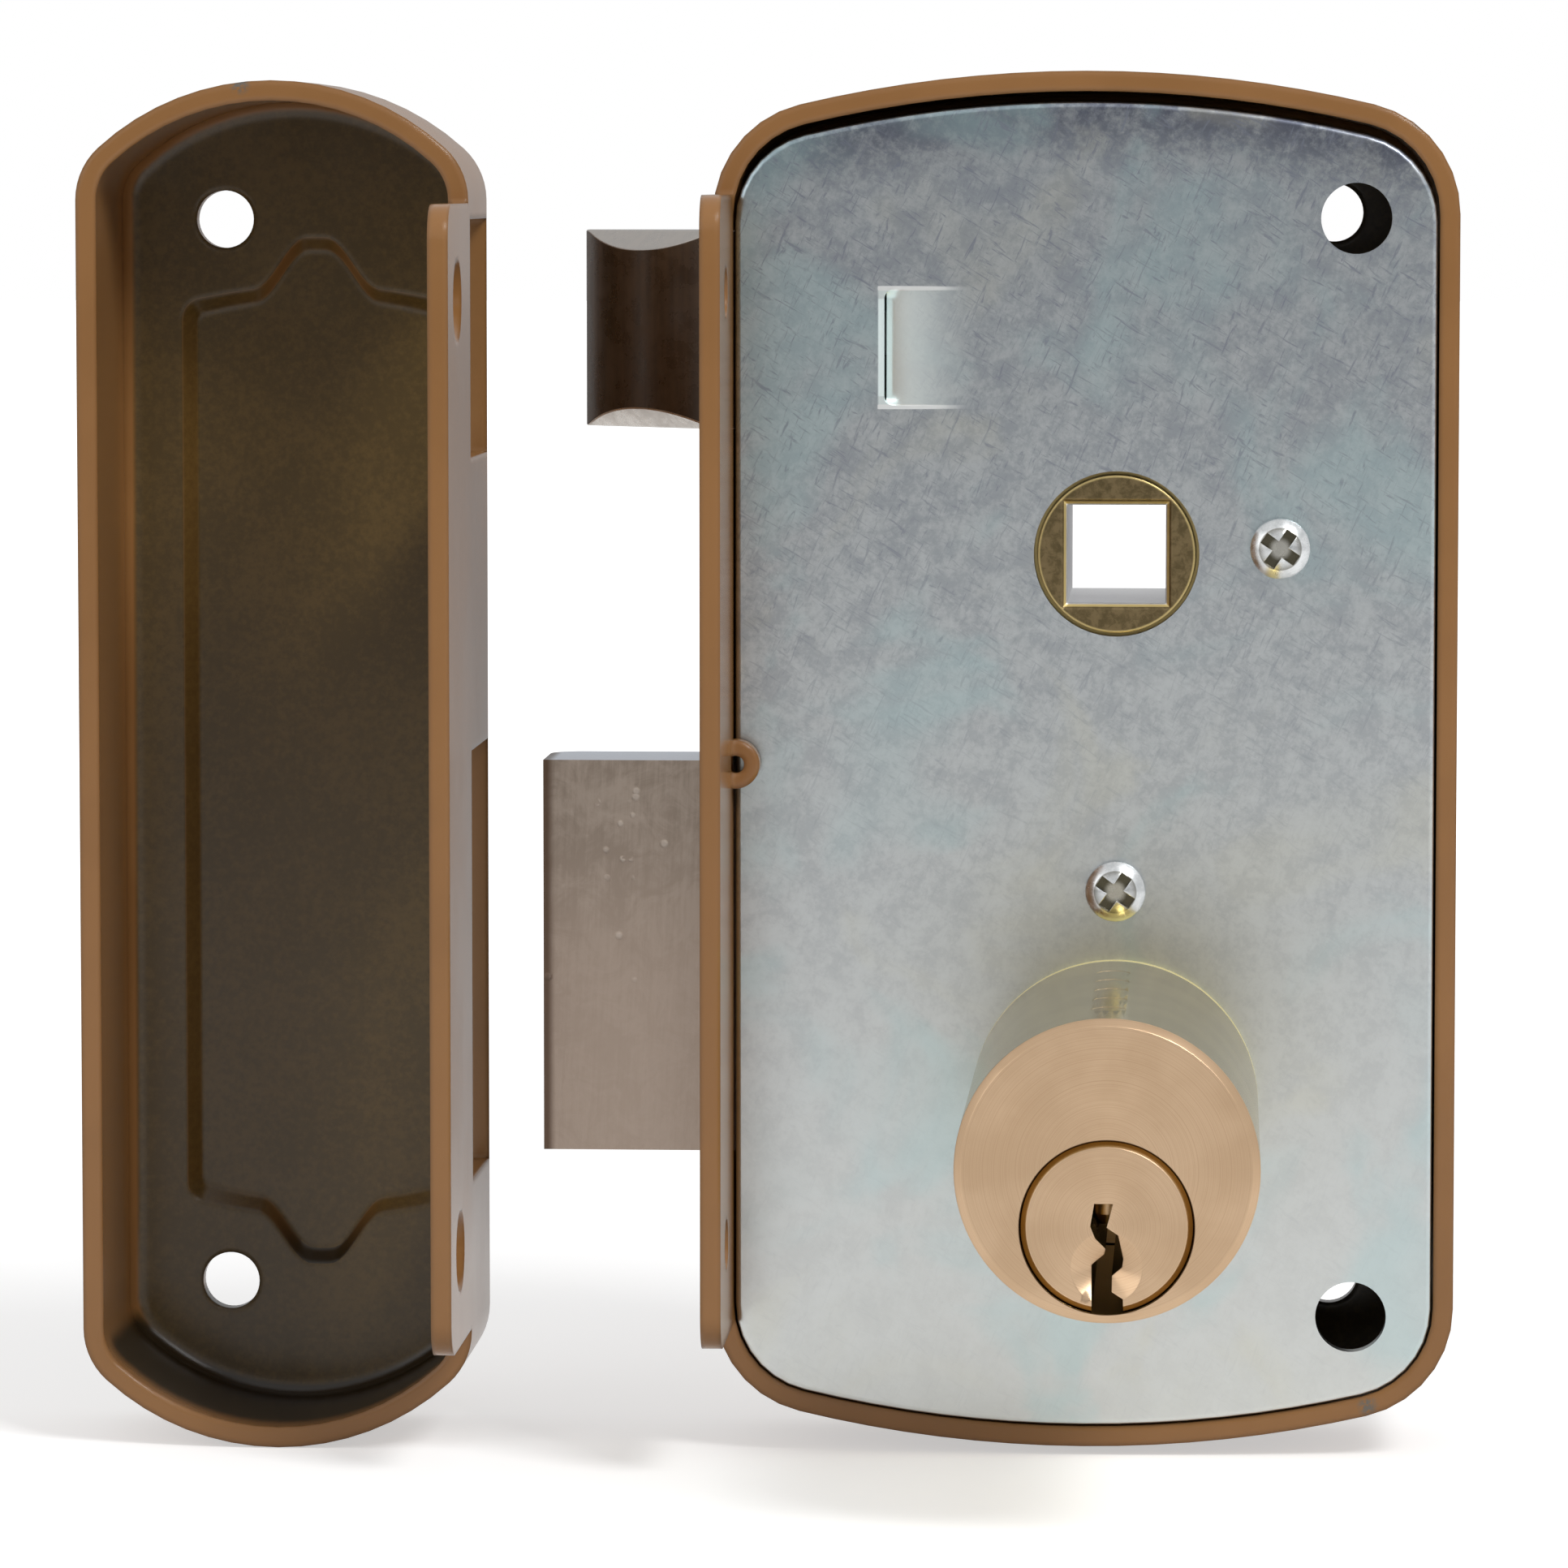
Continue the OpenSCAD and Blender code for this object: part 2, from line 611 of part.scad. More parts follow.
module back_plate() {
    inset = wall + plate_gap;
    drop = plate_top_gap - plate_gap;
    edge = [for (p = rounding(plate_edge_r, plate_edge_r, 4)) [plate_edge_r - p[0], p[1]]];
    levels = concat([for (i = [0 : 4]) edge[4 - i]], [[plate_t, 0]]);
    color([0.68, 0.7, 0.72]) difference() {
        union() {
            difference() {
                translate([case_x, 0, centre_z - drop / 2])
                    loft([for (p = levels)
                        [p[0], box_outline(case_w, case_h - drop, arch_r, corner_r, inset + p[1])]]);
                translate([-tongue_x, 0, latch_z - tongue_drop]) {
                    sheet_y(-cut, plate_t + 2 * cut) tongue_window();
                    tongue_edge();
                }
            }
            translate([-tongue_x, 0, latch_z - tongue_drop]) tongue();
        }
        plate_hole(0, hub_z, hub_d + 2 * hub_gap);
        plate_hole(0, plug_z, clip_d + 2 * gap);
        for (s = [-1, 1]) {
            plate_hole(fixing_x + plate_hole_out, centre_z - plate_hole_drop + s * plate_hole_pitch / 2,
                       plate_hole_d);
            plate_hole(s * cyl_screw_x, cyl_screw_z, cyl_screw_d + 2 * screw_gap);
        }
        for (p = post_list)
            plate_hole(p[0], p[1], screw_d + 2 * screw_gap);
    }
}

// Round hole through the back plate
module plate_hole(x, z, d) {
    rod_y(x, z, d, -cut, plate_t + cut);
}

// Opening that the lanced tongue leaves in the plate
module tongue_window() {
    r = tongue_corner_r;
    translate([r, -tongue_h / 2]) square([tongue_w - r, tongue_h]);
    translate([0, -tongue_h / 2 + r]) square([tongue_w, tongue_h - 2 * r]);
    for (s = [-1, 1])
        translate([r, s * (tongue_h / 2 - r)]) circle(r = r);
}

// Wedge cut off the plate's edge beside the tongue's free end
module tongue_edge() {
    half = tongue_h / 2 - tongue_corner_r;
    translate([0, 0, -half]) linear_extrude(2 * half)
        polygon([[-tongue_lip, -e], [e, -e], [e, tongue_lip]]);
}

// Lanced tongue: joined to the plate at its right end, curving in to its free left edge
module tongue() {
    n = 12;
    start = 2 * tongue_gap;
    run = tongue_w - start;
    rise = [for (i = [0 : n]) [start + run * i / n, tongue_sink * (1 - i / n) ^ 2]];
    low = concat([[tongue_gap, tongue_sink + tongue_gap]], rise, [[tongue_w + e, 0]]);
    high = [for (i = [len(low) - 1 : -1 : 0]) [low[i][0], low[i][1] + plate_t]];
    translate([0, 0, -tongue_h / 2 - e]) linear_extrude(tongue_h + 2 * e) polygon(concat(low, high));
}

module screw_posts() {
    color([0.62, 0.63, 0.65])
        for (p = post_list)
            difference() {
                rod_y(p[0], p[1], post_d, plate_t, panel_inner);
                rod_y(p[0], p[1], screw_d + 2 * thread_gap, plate_t - cut, plate_t + screw_in + cut);
            }
}

module plate_screws() {
    color([0.82, 0.83, 0.84])
        for (p = post_list)
            translate([p[0], 0, p[1]]) difference() {
                union() {
                    rod_y(0, 0, screw_d, -head_h / 2, plate_t + screw_in);
                    rotate([90, 0, 0]) rotate_extrude() pan_head();
                }
                cross_recess(head_d * 0.66, -head_h, head_h * 0.55);
            }
}

// Half section of a pan head: short straight side under a domed top
module pan_head() {
    dome = head_h * 0.6;
    ball = (head_d ^ 2 / 4 + dome ^ 2) / (2 * dome);
    square([head_d / 2, head_h - dome]);
    intersection() {
        square([head_d / 2, head_h]);
        translate([0, head_h - ball]) circle(r = ball);
    }
}

module follower() {
    top = panel_front + hub_lip;
    color([0.5, 0.45, 0.3]) translate([0, 0, hub_z]) difference() {
        union() {
            rod_y(0, 0, hub_d, -gap, top);
            rod_y(0, 0, collar_d, plate_t + gap, tail_y + tail_t);
            rotate([0, arm_start, 0]) {
                sheet_y(tail_y, tail_t) arm_shape();
                rod_y(0, stud_r, stud_d, tail_y, tail_y + tail_t + stud_len);
            }
        }
        block([-spindle / 2, -gap - cut, -spindle / 2], [spindle / 2, top + cut, spindle / 2]);
        translate([0, -gap - e, 0]) rotate([-90, 45, 0]) square_lead_in();
        translate([0, top + e, 0]) rotate([90, 45, 0]) square_lead_in();
    }
}

// Arm of the hub, pointing up, with a round tip
module arm_shape() {
    translate([-arm_w / 2, 0]) square([arm_w, arm_r]);
    translate([0, arm_r]) circle(r = arm_tip_r);
}

// Four-sided cone that widens the mouth of the square hole
module square_lead_in() {
    cylinder(d1 = (spindle + 2 * lead_in) * sqrt(2), d2 = spindle * sqrt(2), h = lead_in, $fn = 4);
}

module follower_spring() {
    r_wire = hub_wire / 2;
    r_coil = hub_d / 2 + r_wire + hub_spring_gap;
    first_y = tail_y + tail_t + hub_wire;
    stud_bear = r_coil + r_wire + stud_d / 2 + gap;
    first_a = 90 - arm_start + acos(stud_bear / stud_r);
    to_post = [post_x, post_upper_z - hub_z];
    post_bear = r_coil + r_wire + post_d / 2 + gap;
    last_a = atan2(to_post[1], to_post[0]) - acos(post_bear / norm(to_post)) + 3 * 360;
    stud_run = sqrt(stud_r ^ 2 - stud_bear ^ 2) + stud_d / 4;
    post_run = sqrt(norm(to_post) ^ 2 - post_bear ^ 2) + post_d / 4;
    n = 40;
    coil = [for (i = [0 : n])
        let (a = first_a + (last_a - first_a) * i / n)
        [r_coil * cos(a), first_y + hub_spring_pitch * (a - first_a) / 360, r_coil * sin(a)]];
    stud_leg = coil[0] - stud_run * [-sin(first_a), 0, cos(first_a)];
    post_leg = coil[n] + post_run * [-sin(last_a), 0, cos(last_a)];
    color([0.6, 0.6, 0.62]) translate([0, 0, hub_z])
        wire(concat([stud_leg], coil, [post_leg]), r_wire, 6);
}

// Latch with a bulging bevel whose upper and lower ends are chamfered
module latch_head() {
    low_y = bolt_y - latch_t / 2;
    high_y = bolt_y + latch_t / 2;
    p0 = [-backset + bolt_gap / 2, low_y];
    p1 = [latch_tip, high_y - latch_tip_t];
    chord = norm(p1 - p0);
    along = (p1 - p0) / chord;
    turn = atan2(along[1], along[0]);
    bulge_r = (chord ^ 2 / 4 + latch_bulge ^ 2) / (2 * latch_bulge);
    color([0.3, 0.2, 0.12]) translate([0, 0, latch_z]) difference() {
        union() {
            block([p0[0], low_y, -latch_h / 2], [latch_rear, high_y, latch_h / 2]);
            intersection() {
                block([latch_tip, low_y, -latch_h / 2], [p0[0] + cut, high_y, latch_h / 2]);
                translate([p0[0], p0[1], -latch_h]) rotate([0, 0, turn])
                    translate([chord / 2, latch_bulge - bulge_r, 0]) cylinder(r = bulge_r, h = 2 * latch_h);
            }
        }
        translate([p0[0], p0[1], 0]) rotate([0, 0, turn])
            for (m = [0, 1])
                mirror([0, 0, m]) translate([-cut, 0, latch_h / 2]) rotate([90, 0, 90])
                    linear_extrude(chord + 2 * cut)
                        polygon([[latch_t - latch_chamfer - cut, cut],
                                 [latch_t, -latch_chamfer],
                                 [latch_t, cut]]);
        block([latch_rear - latch_seat, tail_y, latch_tail_z - latch_z],
              [latch_rear + cut, tail_y + tail_t, latch_tail_z + latch_tail_h - latch_z]);
        rod_y(latch_rivet_x, latch_tail_z + latch_tail_h / 2 - latch_z, rivet_d, low_y - cut, high_y + cut);
    }
}

module latch_tail() {
    start = latch_rear - latch_seat;
    top = latch_tail_z + latch_tail_h;
    color([0.6, 0.6, 0.6]) sheet_y(tail_y, tail_t) difference() {
        union() {
            translate([start, latch_tail_z]) square([lug_x + lug_w - start, latch_tail_h]);
            translate([lug_x, lug_low]) square([lug_w, top - lug_low]);
        }
        translate([latch_rivet_x, latch_tail_z + latch_tail_h / 2]) circle(d = rivet_d);
    }
}

module latch_rivets() {
    color([0.75, 0.75, 0.75])
        rod_y(latch_rivet_x, latch_tail_z + latch_tail_h / 2, rivet_d,
              bolt_y - latch_t / 2, bolt_y + latch_t / 2);
}

module latch_spring() {
    x0 = latch_rear + latch_wire / 2 + 2 * seat_gap;
    x1 = stop_x - latch_wire / 2 - 2 * seat_gap;
    n = latch_turns * 12;
    path = [for (i = [0 : n])
        [x0 + (x1 - x0) * i / n,
         bolt_y + latch_coil_r * cos(30 * i),
         latch_coil_z + latch_coil_r * sin(30 * i)]];
    color([0.7, 0.7, 0.72]) wire(path, latch_wire / 2, 6);
}

// Bracket on the back plate that the latch spring pushes against
module spring_stop() {
    half = latch_coil_r + latch_wire / 2 + gap;
    low = latch_tail_z + latch_tail_h + gap;
    color([0.62, 0.63, 0.65]) {
        block([stop_x, plate_t, low], [stop_x + stop_t, bolt_y + half, latch_coil_z + half]);
        block([stop_x, plate_t, low], [stop_x + stop_foot, plate_t + stop_foot_t, latch_coil_z + half]);
        translate([stop_x + e, bolt_y, latch_coil_z]) rotate([0, -90, 0])
            cylinder(r = latch_coil_r - latch_wire / 2 - gap, h = stop_pin);
    }
}

module deadbolt_head() {
    low_y = bolt_y - dead_t / 2;
    high_y = bolt_y + dead_t / 2;
    color([0.58, 0.52, 0.47]) translate([0, 0, dead_z]) difference() {
        block([dead_tip, low_y, -dead_h / 2], [dead_rear, high_y, dead_h / 2]);
        difference() {
            block([dead_tip - cut, high_y - dead_r, -dead_h], [dead_tip + dead_r, high_y + cut, dead_h]);
            translate([dead_tip + dead_r, high_y - dead_r, -2 * dead_h])
                cylinder(r = dead_r, h = 4 * dead_h);
        }
        block([dead_rear - dead_seat, tail_y, dead_tail_low - dead_z],
              [dead_rear + cut, tail_y + tail_t, dead_tail_top - dead_z]);
        for (z = dead_rivet_z())
            rod_y(dead_rivet_x, z - dead_z, rivet_d, low_y - cut, high_y + cut);
    }
}

// Heights of the two rivets that hold the deadbolt to its tail
function dead_rivet_z() = [dead_tail_low + rivet_in, dead_tail_top - rivet_in];

module deadbolt_tail() {
    slot_d = post_d + 2 * gap;
    start = dead_rear - dead_seat;
    color([0.6, 0.6, 0.6]) sheet_y(tail_y, tail_t) difference() {
        translate([start, dead_tail_low]) square([dead_tail_end - start, dead_tail_top - dead_tail_low]);
        translate([-dead_throw, post_lower_z - slot_d / 2]) square([dead_throw, slot_d]);
        for (x = [-dead_throw, 0])
            translate([x, post_lower_z]) circle(d = slot_d);
        translate([cam_pin_x - notch_w / 2, dead_tail_low - cut])
            square([notch_w, notch_top - dead_tail_low + cut]);
        for (x = [nub_x, nub_x - dead_throw])
            translate([x, dead_tail_top + nub_rise]) circle(r = nub_r + gap);
        for (z = dead_rivet_z())
            translate([dead_rivet_x, z]) circle(d = rivet_d);
    }
}

module deadbolt_rivets() {
    color([0.75, 0.75, 0.75])
        for (z = dead_rivet_z())
            rod_y(dead_rivet_x, z, rivet_d, bolt_y - dead_t / 2, bolt_y + dead_t / 2);
}

// Leaf spring that clicks into the deadbolt tail's notches
module detent_spring() {
    color([0.6, 0.6, 0.62]) sheet_y(bolt_y - leaf_w / 2, leaf_w) {
        translate([detent_x, leaf_z]) square([nub_x + leaf_over - detent_x, leaf_t]);
        translate([nub_x - nub_r, dead_tail_top + nub_rise]) square([2 * nub_r, leaf_z - dead_tail_top]);
        translate([nub_x, dead_tail_top + nub_rise]) circle(r = nub_r);
        translate([detent_x, detent_z]) difference() {
            circle(d = detent_post_d + 2 * (leaf_t + seat_gap));
            circle(d = detent_post_d + 2 * seat_gap);
            translate([leaf_t, 0]) square(detent_post_d);
        }
    }
}

module detent_post() {
    color([0.62, 0.63, 0.65]) rod_y(detent_x, detent_z, detent_post_d, plate_t, panel_inner);
}

module cylinder_body() {
    color([0.8, 0.62, 0.42]) difference() {
        union() {
            rod_y(0, 0, body_d, -body_len + face_chamfer, 0);
            translate([0, -body_len, 0]) rotate([-90, 0, 0])
                cylinder(d1 = body_d - 2 * face_chamfer, d2 = body_d, h = face_chamfer);
        }
        rod_y(0, plug_z, plug_d + 2 * plug_gap, -body_len - cut, cut);
        for (y = pin_list)
            translate([0, y, 0]) cylinder(d = chamber_d, h = body_d);
        for (s = [-1, 1])
            rod_y(s * cyl_screw_x, cyl_screw_z, cyl_screw_d + 2 * thread_gap, -cyl_screw_in - cut, cut);
    }
}

module cylinder_plug() {
    face = -body_len;
    color([0.82, 0.64, 0.44]) translate([0, 0, plug_z]) difference() {
        union() {
            rod_y(0, 0, plug_d, face + plug_chamfer, 0);
            translate([0, face, 0]) rotate([-90, 0, 0])
                cylinder(d1 = plug_d - 2 * plug_chamfer, d2 = plug_d, h = plug_chamfer);
            rod_y(0, 0, neck_d, -e, clip_t + gap);
        }
        sheet_y(face - cut, body_len - plug_end + cut) keyway();
        translate([0, face - e, -cone_drop]) rotate([-90, 0, 0])
            cylinder(d1 = cone_d, d2 = cone_d / 12, h = cone_h);
        for (y = pin_list)
            translate([0, y, -cut]) cylinder(d = pin_d + 2 * seat_gap, h = plug_d);
        block([-bar_w / 2, -bar_in - 2 * seat_gap, -bar_t / 2], [bar_w / 2, plate_t + cut, bar_t / 2]);
    }
}

// Section of the keyway, open at the lower edge of the plug, with its stepped side wards
module keyway() {
    polygon([[-1, 1.9], [0.5, 1.9], [0, 0], [0.9, -0.6], [1.3, -2.6], [1.2, -3.3], [0.4, -4],
             [0.4, -5.2], [1.3, -5.7], [1.4, -plug_d], [-1.1, -plug_d], [-1.2, -3.1], [-0.2, -2.3],
             [-0.1, -1.8], [-0.9, -0.9], [-1.3, 0.1]]);
}

module key_pins() {
    color([0.8, 0.66, 0.4])
        for (y = pin_list)
            translate([0, y, plug_z - key_pin_drop]) {
                cylinder(d1 = pin_d - key_pin_tip, d2 = pin_d, h = key_pin_tip);
                translate([0, 0, key_pin_tip - e])
                    cylinder(d = pin_d, h = plug_d / 2 + key_pin_drop - key_pin_tip - 2 * seat_gap + e);
            }
}

module driver_pins() {
    color([0.75, 0.72, 0.66])
        for (y = pin_list)
            translate([0, y, driver_low]) cylinder(d = pin_d, h = driver_h);
}

module pin_springs() {
    low = driver_low + driver_h + pin_gap;
    high = cap_low - pin_gap;
    r = (pin_d - pin_wire) / 2 - 3 * seat_gap;
    n = pin_turns * 10;
    color([0.7, 0.7, 0.72])
        for (y = pin_list)
            wire([for (i = [0 : n]) [r * cos(36 * i), y + r * sin(36 * i), low + (high - low) * i / n]],
                 pin_wire / 2, 5);
}

module chamber_caps() {
    color([0.8, 0.62, 0.42])
        for (y = pin_list)
            intersection() {
                translate([0, y, cap_low]) cylinder(d = chamber_d - 2 * e, h = body_d);
                rod_y(0, 0, body_d - 2 * e, y - pin_d, y + pin_d);
            }
}

module plug_clip() {
    color([0.6, 0.6, 0.62]) translate([0, 0, plug_z]) difference() {
        rod_y(0, 0, clip_d, 2 * seat_gap, 2 * seat_gap + clip_t);
        rod_y(0, 0, neck_d + 2 * seat_gap, -cut, clip_t + cut);
        block([-clip_mouth / 2, -cut, 0], [clip_mouth / 2, clip_t + cut, clip_d]);
    }
}

module tail_bar() {
    color([0.6, 0.6, 0.62]) translate([0, 0, plug_z])
        block([seat_gap - bar_w / 2, -bar_in, seat_gap - bar_t / 2],
              [bar_w / 2 - seat_gap, cam_y + cam_t, bar_t / 2 - seat_gap]);
}

module drive_cam() {
    color([0.66, 0.62, 0.5]) translate([0, 0, plug_z]) sheet_y(cam_y, cam_t) difference() {
        union() {
            circle(d = cam_hub_d);
            rotate(45) {
                polygon([[-cam_root_w / 2, 0], [cam_root_w / 2, 0],
                         [cam_tip_r, cam_r], [-cam_tip_r, cam_r]]);
                translate([0, cam_r]) circle(r = cam_tip_r);
            }
        }
        translate([-bar_w / 2, -bar_t / 2]) square([bar_w, bar_t]);
        rotate(45) translate([0, cam_r]) circle(d = cam_pin_d);
    }
}

module cam_pin() {
    color([0.75, 0.75, 0.75])
        rod_y(cam_pin_x, plug_z - cam_pin_x, cam_pin_d, cam_y, tail_y + tail_t + bolt_gap);
}

module cylinder_screws() {
    color([0.75, 0.75, 0.75])
        for (s = [-1, 1])
            translate([s * cyl_screw_x, 0, cyl_screw_z]) difference() {
                union() {
                    rod_y(0, 0, cyl_screw_d, -cyl_screw_in, plate_t + cyl_head_h / 2);
                    rod_y(0, 0, cyl_head_d, plate_t, plate_t + cyl_head_h);
                }
                block([-cyl_head_d, plate_t + cyl_head_h - cyl_slot_depth, -cyl_slot_w / 2],
                      [cyl_head_d, plate_t + cyl_head_h + cut, cyl_slot_w / 2]);
            }
}

module thumb_turn() {
    y0 = panel_front + gap;
    color([0.55, 0.38, 0.2]) translate([0, 0, plug_z]) {
        rod_y(0, 0, shaft_d, cam_y + cam_t, y0 + rose_t / 2);
        rod_y(0, 0, rose_d, y0, y0 + rose_t);
        sheet_y(y0 + rose_t / 2, grip_out + rose_t / 2) {
            square([grip_w - grip_t, grip_t], center = true);
            for (s = [-1, 1])
                translate([s * (grip_w - grip_t) / 2, 0]) circle(d = grip_t);
        }
    }
}

// Mouth in the keeper's side for a bolt of height h at z
module keeper_mouth(z, h) {
    translate([keeper_edge - wall / 2, bolt_y, z - keeper_drop])
        cube([wall + 2 * cut, mouth_w, h + 2 * mouth_gap], center = true);
}

module keeper() {
    color([0.55, 0.38, 0.2]) difference() {
        translate([keeper_x, 0, keeper_z])
            pressed_box(keeper_w, keeper_arch_r, keeper_corner_r, 1, keeper_panel_x, keeper_panel_w);
        keeper_mouth(latch_z, latch_h);
        keeper_mouth(dead_z, dead_h);
        for (s = [-1, 1])
            rod_y(keeper_x - keeper_w / 2 + keeper_hole_in, keeper_z + s * keeper_pitch / 2, keeper_hole_d,
                  inner_front - cut, panel_front + cut);
    }
}

case();
back_plate();
screw_posts();
plate_screws();
follower();
follower_spring();
latch_head();
latch_tail();
latch_rivets();
latch_spring();
spring_stop();
deadbolt_head();
deadbolt_tail();
deadbolt_rivets();
detent_spring();
detent_post();
cylinder_body();
cylinder_plug();
key_pins();
driver_pins();
pin_springs();
chamber_caps();
plug_clip();
tail_bar();
drive_cam();
cam_pin();
cylinder_screws();
thumb_turn();
keeper();
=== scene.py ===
import json
import math

import bpy
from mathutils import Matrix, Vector


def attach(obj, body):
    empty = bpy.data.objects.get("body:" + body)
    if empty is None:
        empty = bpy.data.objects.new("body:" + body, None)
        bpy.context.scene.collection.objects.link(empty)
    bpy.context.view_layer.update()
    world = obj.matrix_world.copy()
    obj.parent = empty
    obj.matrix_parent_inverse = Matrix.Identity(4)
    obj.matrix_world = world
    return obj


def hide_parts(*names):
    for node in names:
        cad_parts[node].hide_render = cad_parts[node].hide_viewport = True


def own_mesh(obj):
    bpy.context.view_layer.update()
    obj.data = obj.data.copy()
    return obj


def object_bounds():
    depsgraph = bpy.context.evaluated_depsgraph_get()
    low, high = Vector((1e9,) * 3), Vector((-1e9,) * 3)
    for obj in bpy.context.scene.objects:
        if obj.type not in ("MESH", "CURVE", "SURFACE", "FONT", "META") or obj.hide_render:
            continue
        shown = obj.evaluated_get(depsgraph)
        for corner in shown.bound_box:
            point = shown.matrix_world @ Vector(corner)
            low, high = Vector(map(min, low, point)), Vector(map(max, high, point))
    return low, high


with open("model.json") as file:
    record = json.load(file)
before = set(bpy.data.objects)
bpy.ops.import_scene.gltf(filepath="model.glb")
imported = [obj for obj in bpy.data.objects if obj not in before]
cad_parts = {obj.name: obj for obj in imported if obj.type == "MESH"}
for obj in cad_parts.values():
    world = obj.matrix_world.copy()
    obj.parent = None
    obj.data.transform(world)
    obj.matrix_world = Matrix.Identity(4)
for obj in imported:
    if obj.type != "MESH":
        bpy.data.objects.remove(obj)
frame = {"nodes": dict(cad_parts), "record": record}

CAD_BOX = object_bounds()
NODES = frame["nodes"]
MM = 0.001

# The photograph's camera: picture width and focal length in pixels, the rest in millimetres
IMAGE_PX = 1932
FOCAL_PX = 9400
SENSOR_MM = 36.0
CAMERA_AT = (8.4, -645.0, 78.5)
CAMERA_TARGET = (-28.16, 0.0, 26.97)
# Lamps in metres and watts: place, width and power
LAMP_TARGET = (0, 0, 0.03)
LAMPS = {
    "key": ((0.45, -0.55, 0.75), 0.3, 6.0),
    "fill": ((-0.7, -0.5, 0.35), 0.6, 1.0),
}


class Tree:
    """A node tree, built up by short calls."""

    def __init__(self, tree):
        self.tree = tree

    def add(self, kind, **settings):
        node = self.tree.nodes.new(kind)
        for key, value in settings.items():
            setattr(node, key, value)
        return node

    def put(self, socket, value):
        """Give a socket a plain value, or the output of another node."""
        if isinstance(value, bpy.types.NodeSocket):
            self.tree.links.new(value, socket)
        else:
            socket.default_value = value

    def calc(self, operation, a, b=0.0):
        node = self.add("ShaderNodeMath", operation=operation)
        self.put(node.inputs[0], a)
        self.put(node.inputs[1], b)
        return node.outputs[0]

    def fit(self, value, low, high, to_low=0.0, to_high=1.0):
        """Smooth step from one value to another while the input goes from low to high."""
        node = self.add("ShaderNodeMapRange", interpolation_type="SMOOTHSTEP")
        for socket, number in zip(node.inputs, (value, low, high, to_low, to_high)):
            self.put(socket, number)
        return node.outputs[0]

    def split(self, vector):
        """The X, Y and Z of a vector."""
        node = self.add("ShaderNodeSeparateXYZ")
        self.put(node.inputs[0], vector)
        return node.outputs

    def blend(self, factor, a, b):
        node = self.add("ShaderNodeMixShader")
        for socket, value in zip(node.inputs, (factor, a, b)):
            self.put(socket, value)
        return node.outputs[0]


class Shader(Tree):
    """A material with one principled shader. Sizes are given in millimetres, places are read in metres."""

    def __init__(self, name):
        self.material = bpy.data.materials.new(name)
        self.material.use_nodes = True
        super().__init__(self.material.node_tree)
        self.bsdf = self.tree.nodes["Principled BSDF"]
        self.place = self.add("ShaderNodeTexCoord").outputs["Object"]

    def set(self, **sockets):
        for key, value in sockets.items():
            self.put(self.bsdf.inputs[key.replace("_", " ")], value)

    def stretch(self, x, y, z, turn=0.0):
        node = self.add("ShaderNodeMapping", vector_type="TEXTURE")
        self.put(node.inputs["Vector"], self.place)
        node.inputs["Rotation"].default_value = (0, math.radians(turn), 0)
        node.inputs["Scale"].default_value = (x, y, z)
        return node.outputs["Vector"]

    def noise(self, size, detail=3.0, rough=0.55, at=None, twist=0.0):
        node = self.add("ShaderNodeTexNoise")
        self.put(node.inputs["Vector"], self.place if at is None else at)
        node.inputs["Scale"].default_value = 1 / (size * MM)
        node.inputs["Detail"].default_value = detail
        node.inputs["Roughness"].default_value = rough
        node.inputs["Distortion"].default_value = twist
        return node.outputs["Fac"]

    def cells(self, size):
        node = self.add("ShaderNodeTexVoronoi")
        self.put(node.inputs["Vector"], self.place)
        node.inputs["Scale"].default_value = 1 / (size * MM)
        return node.outputs["Distance"]

    def mix(self, factor, a, b):
        node = self.add("ShaderNodeMix", data_type="RGBA")
        self.put(node.inputs["Factor"], factor)
        self.put(node.inputs[6], a)
        self.put(node.inputs[7], b)
        return node.outputs[2]

    def axis(self, name):
        return self.split(self.place)[name]

    def facing(self, name):
        return self.split(self.add("ShaderNodeTexCoord").outputs["Normal"])[name]

    def near(self, point, inner, outer):
        """1 within the inner radius of a point, 0 beyond the outer one."""
        node = self.add("ShaderNodeVectorMath", operation="DISTANCE")
        self.put(node.inputs[0], self.place)
        node.inputs[1].default_value = Vector(point) * MM
        return self.fit(node.outputs["Value"], inner * MM, outer * MM, 1.0, 0.0)

    def radius(self, x, z):
        """Distance from a line along Y through x and z."""
        node = self.add("ShaderNodeVectorMath", operation="MULTIPLY_ADD")
        self.put(node.inputs[0], self.place)
        node.inputs[1].default_value = (1, 0, 1)
        node.inputs[2].default_value = (-x * MM, 0, -z * MM)
        length = self.add("ShaderNodeVectorMath", operation="LENGTH")
        self.put(length.inputs[0], node.outputs[0])
        return length.outputs["Value"]

    def round_edges(self, radius):
        """Normal that runs smoothly over sharp edges, as over thick paint."""
        node = self.add("ShaderNodeBevel", samples=6)
        node.inputs["Radius"].default_value = radius * MM
        return node.outputs[0]

    def bump(self, height, depth, strength, under=None):
        node = self.add("ShaderNodeBump")
        node.inputs["Strength"].default_value = strength
        node.inputs["Distance"].default_value = depth * MM
        self.put(node.inputs["Height"], height)
        if under is not None:
            self.put(node.inputs["Normal"], under)
        return node.outputs["Normal"]


def rgb(red, green, blue):
    """Colour as seen, 0 to 255, turned into the linear values that sockets take."""
    linear = [c / 12.92 if c <= 0.04045 else ((c + 0.055) / 1.055) ** 2.4
              for c in (red / 255, green / 255, blue / 255)]
    return (*linear, 1.0)


# Places and sizes on the part, in millimetres
# Chipped paint on the rims
CHIPS = [(25.4, 0.6, 83.2), (21.6, 0.6, -26.0), (-74.4, 0.6, 86.2)]
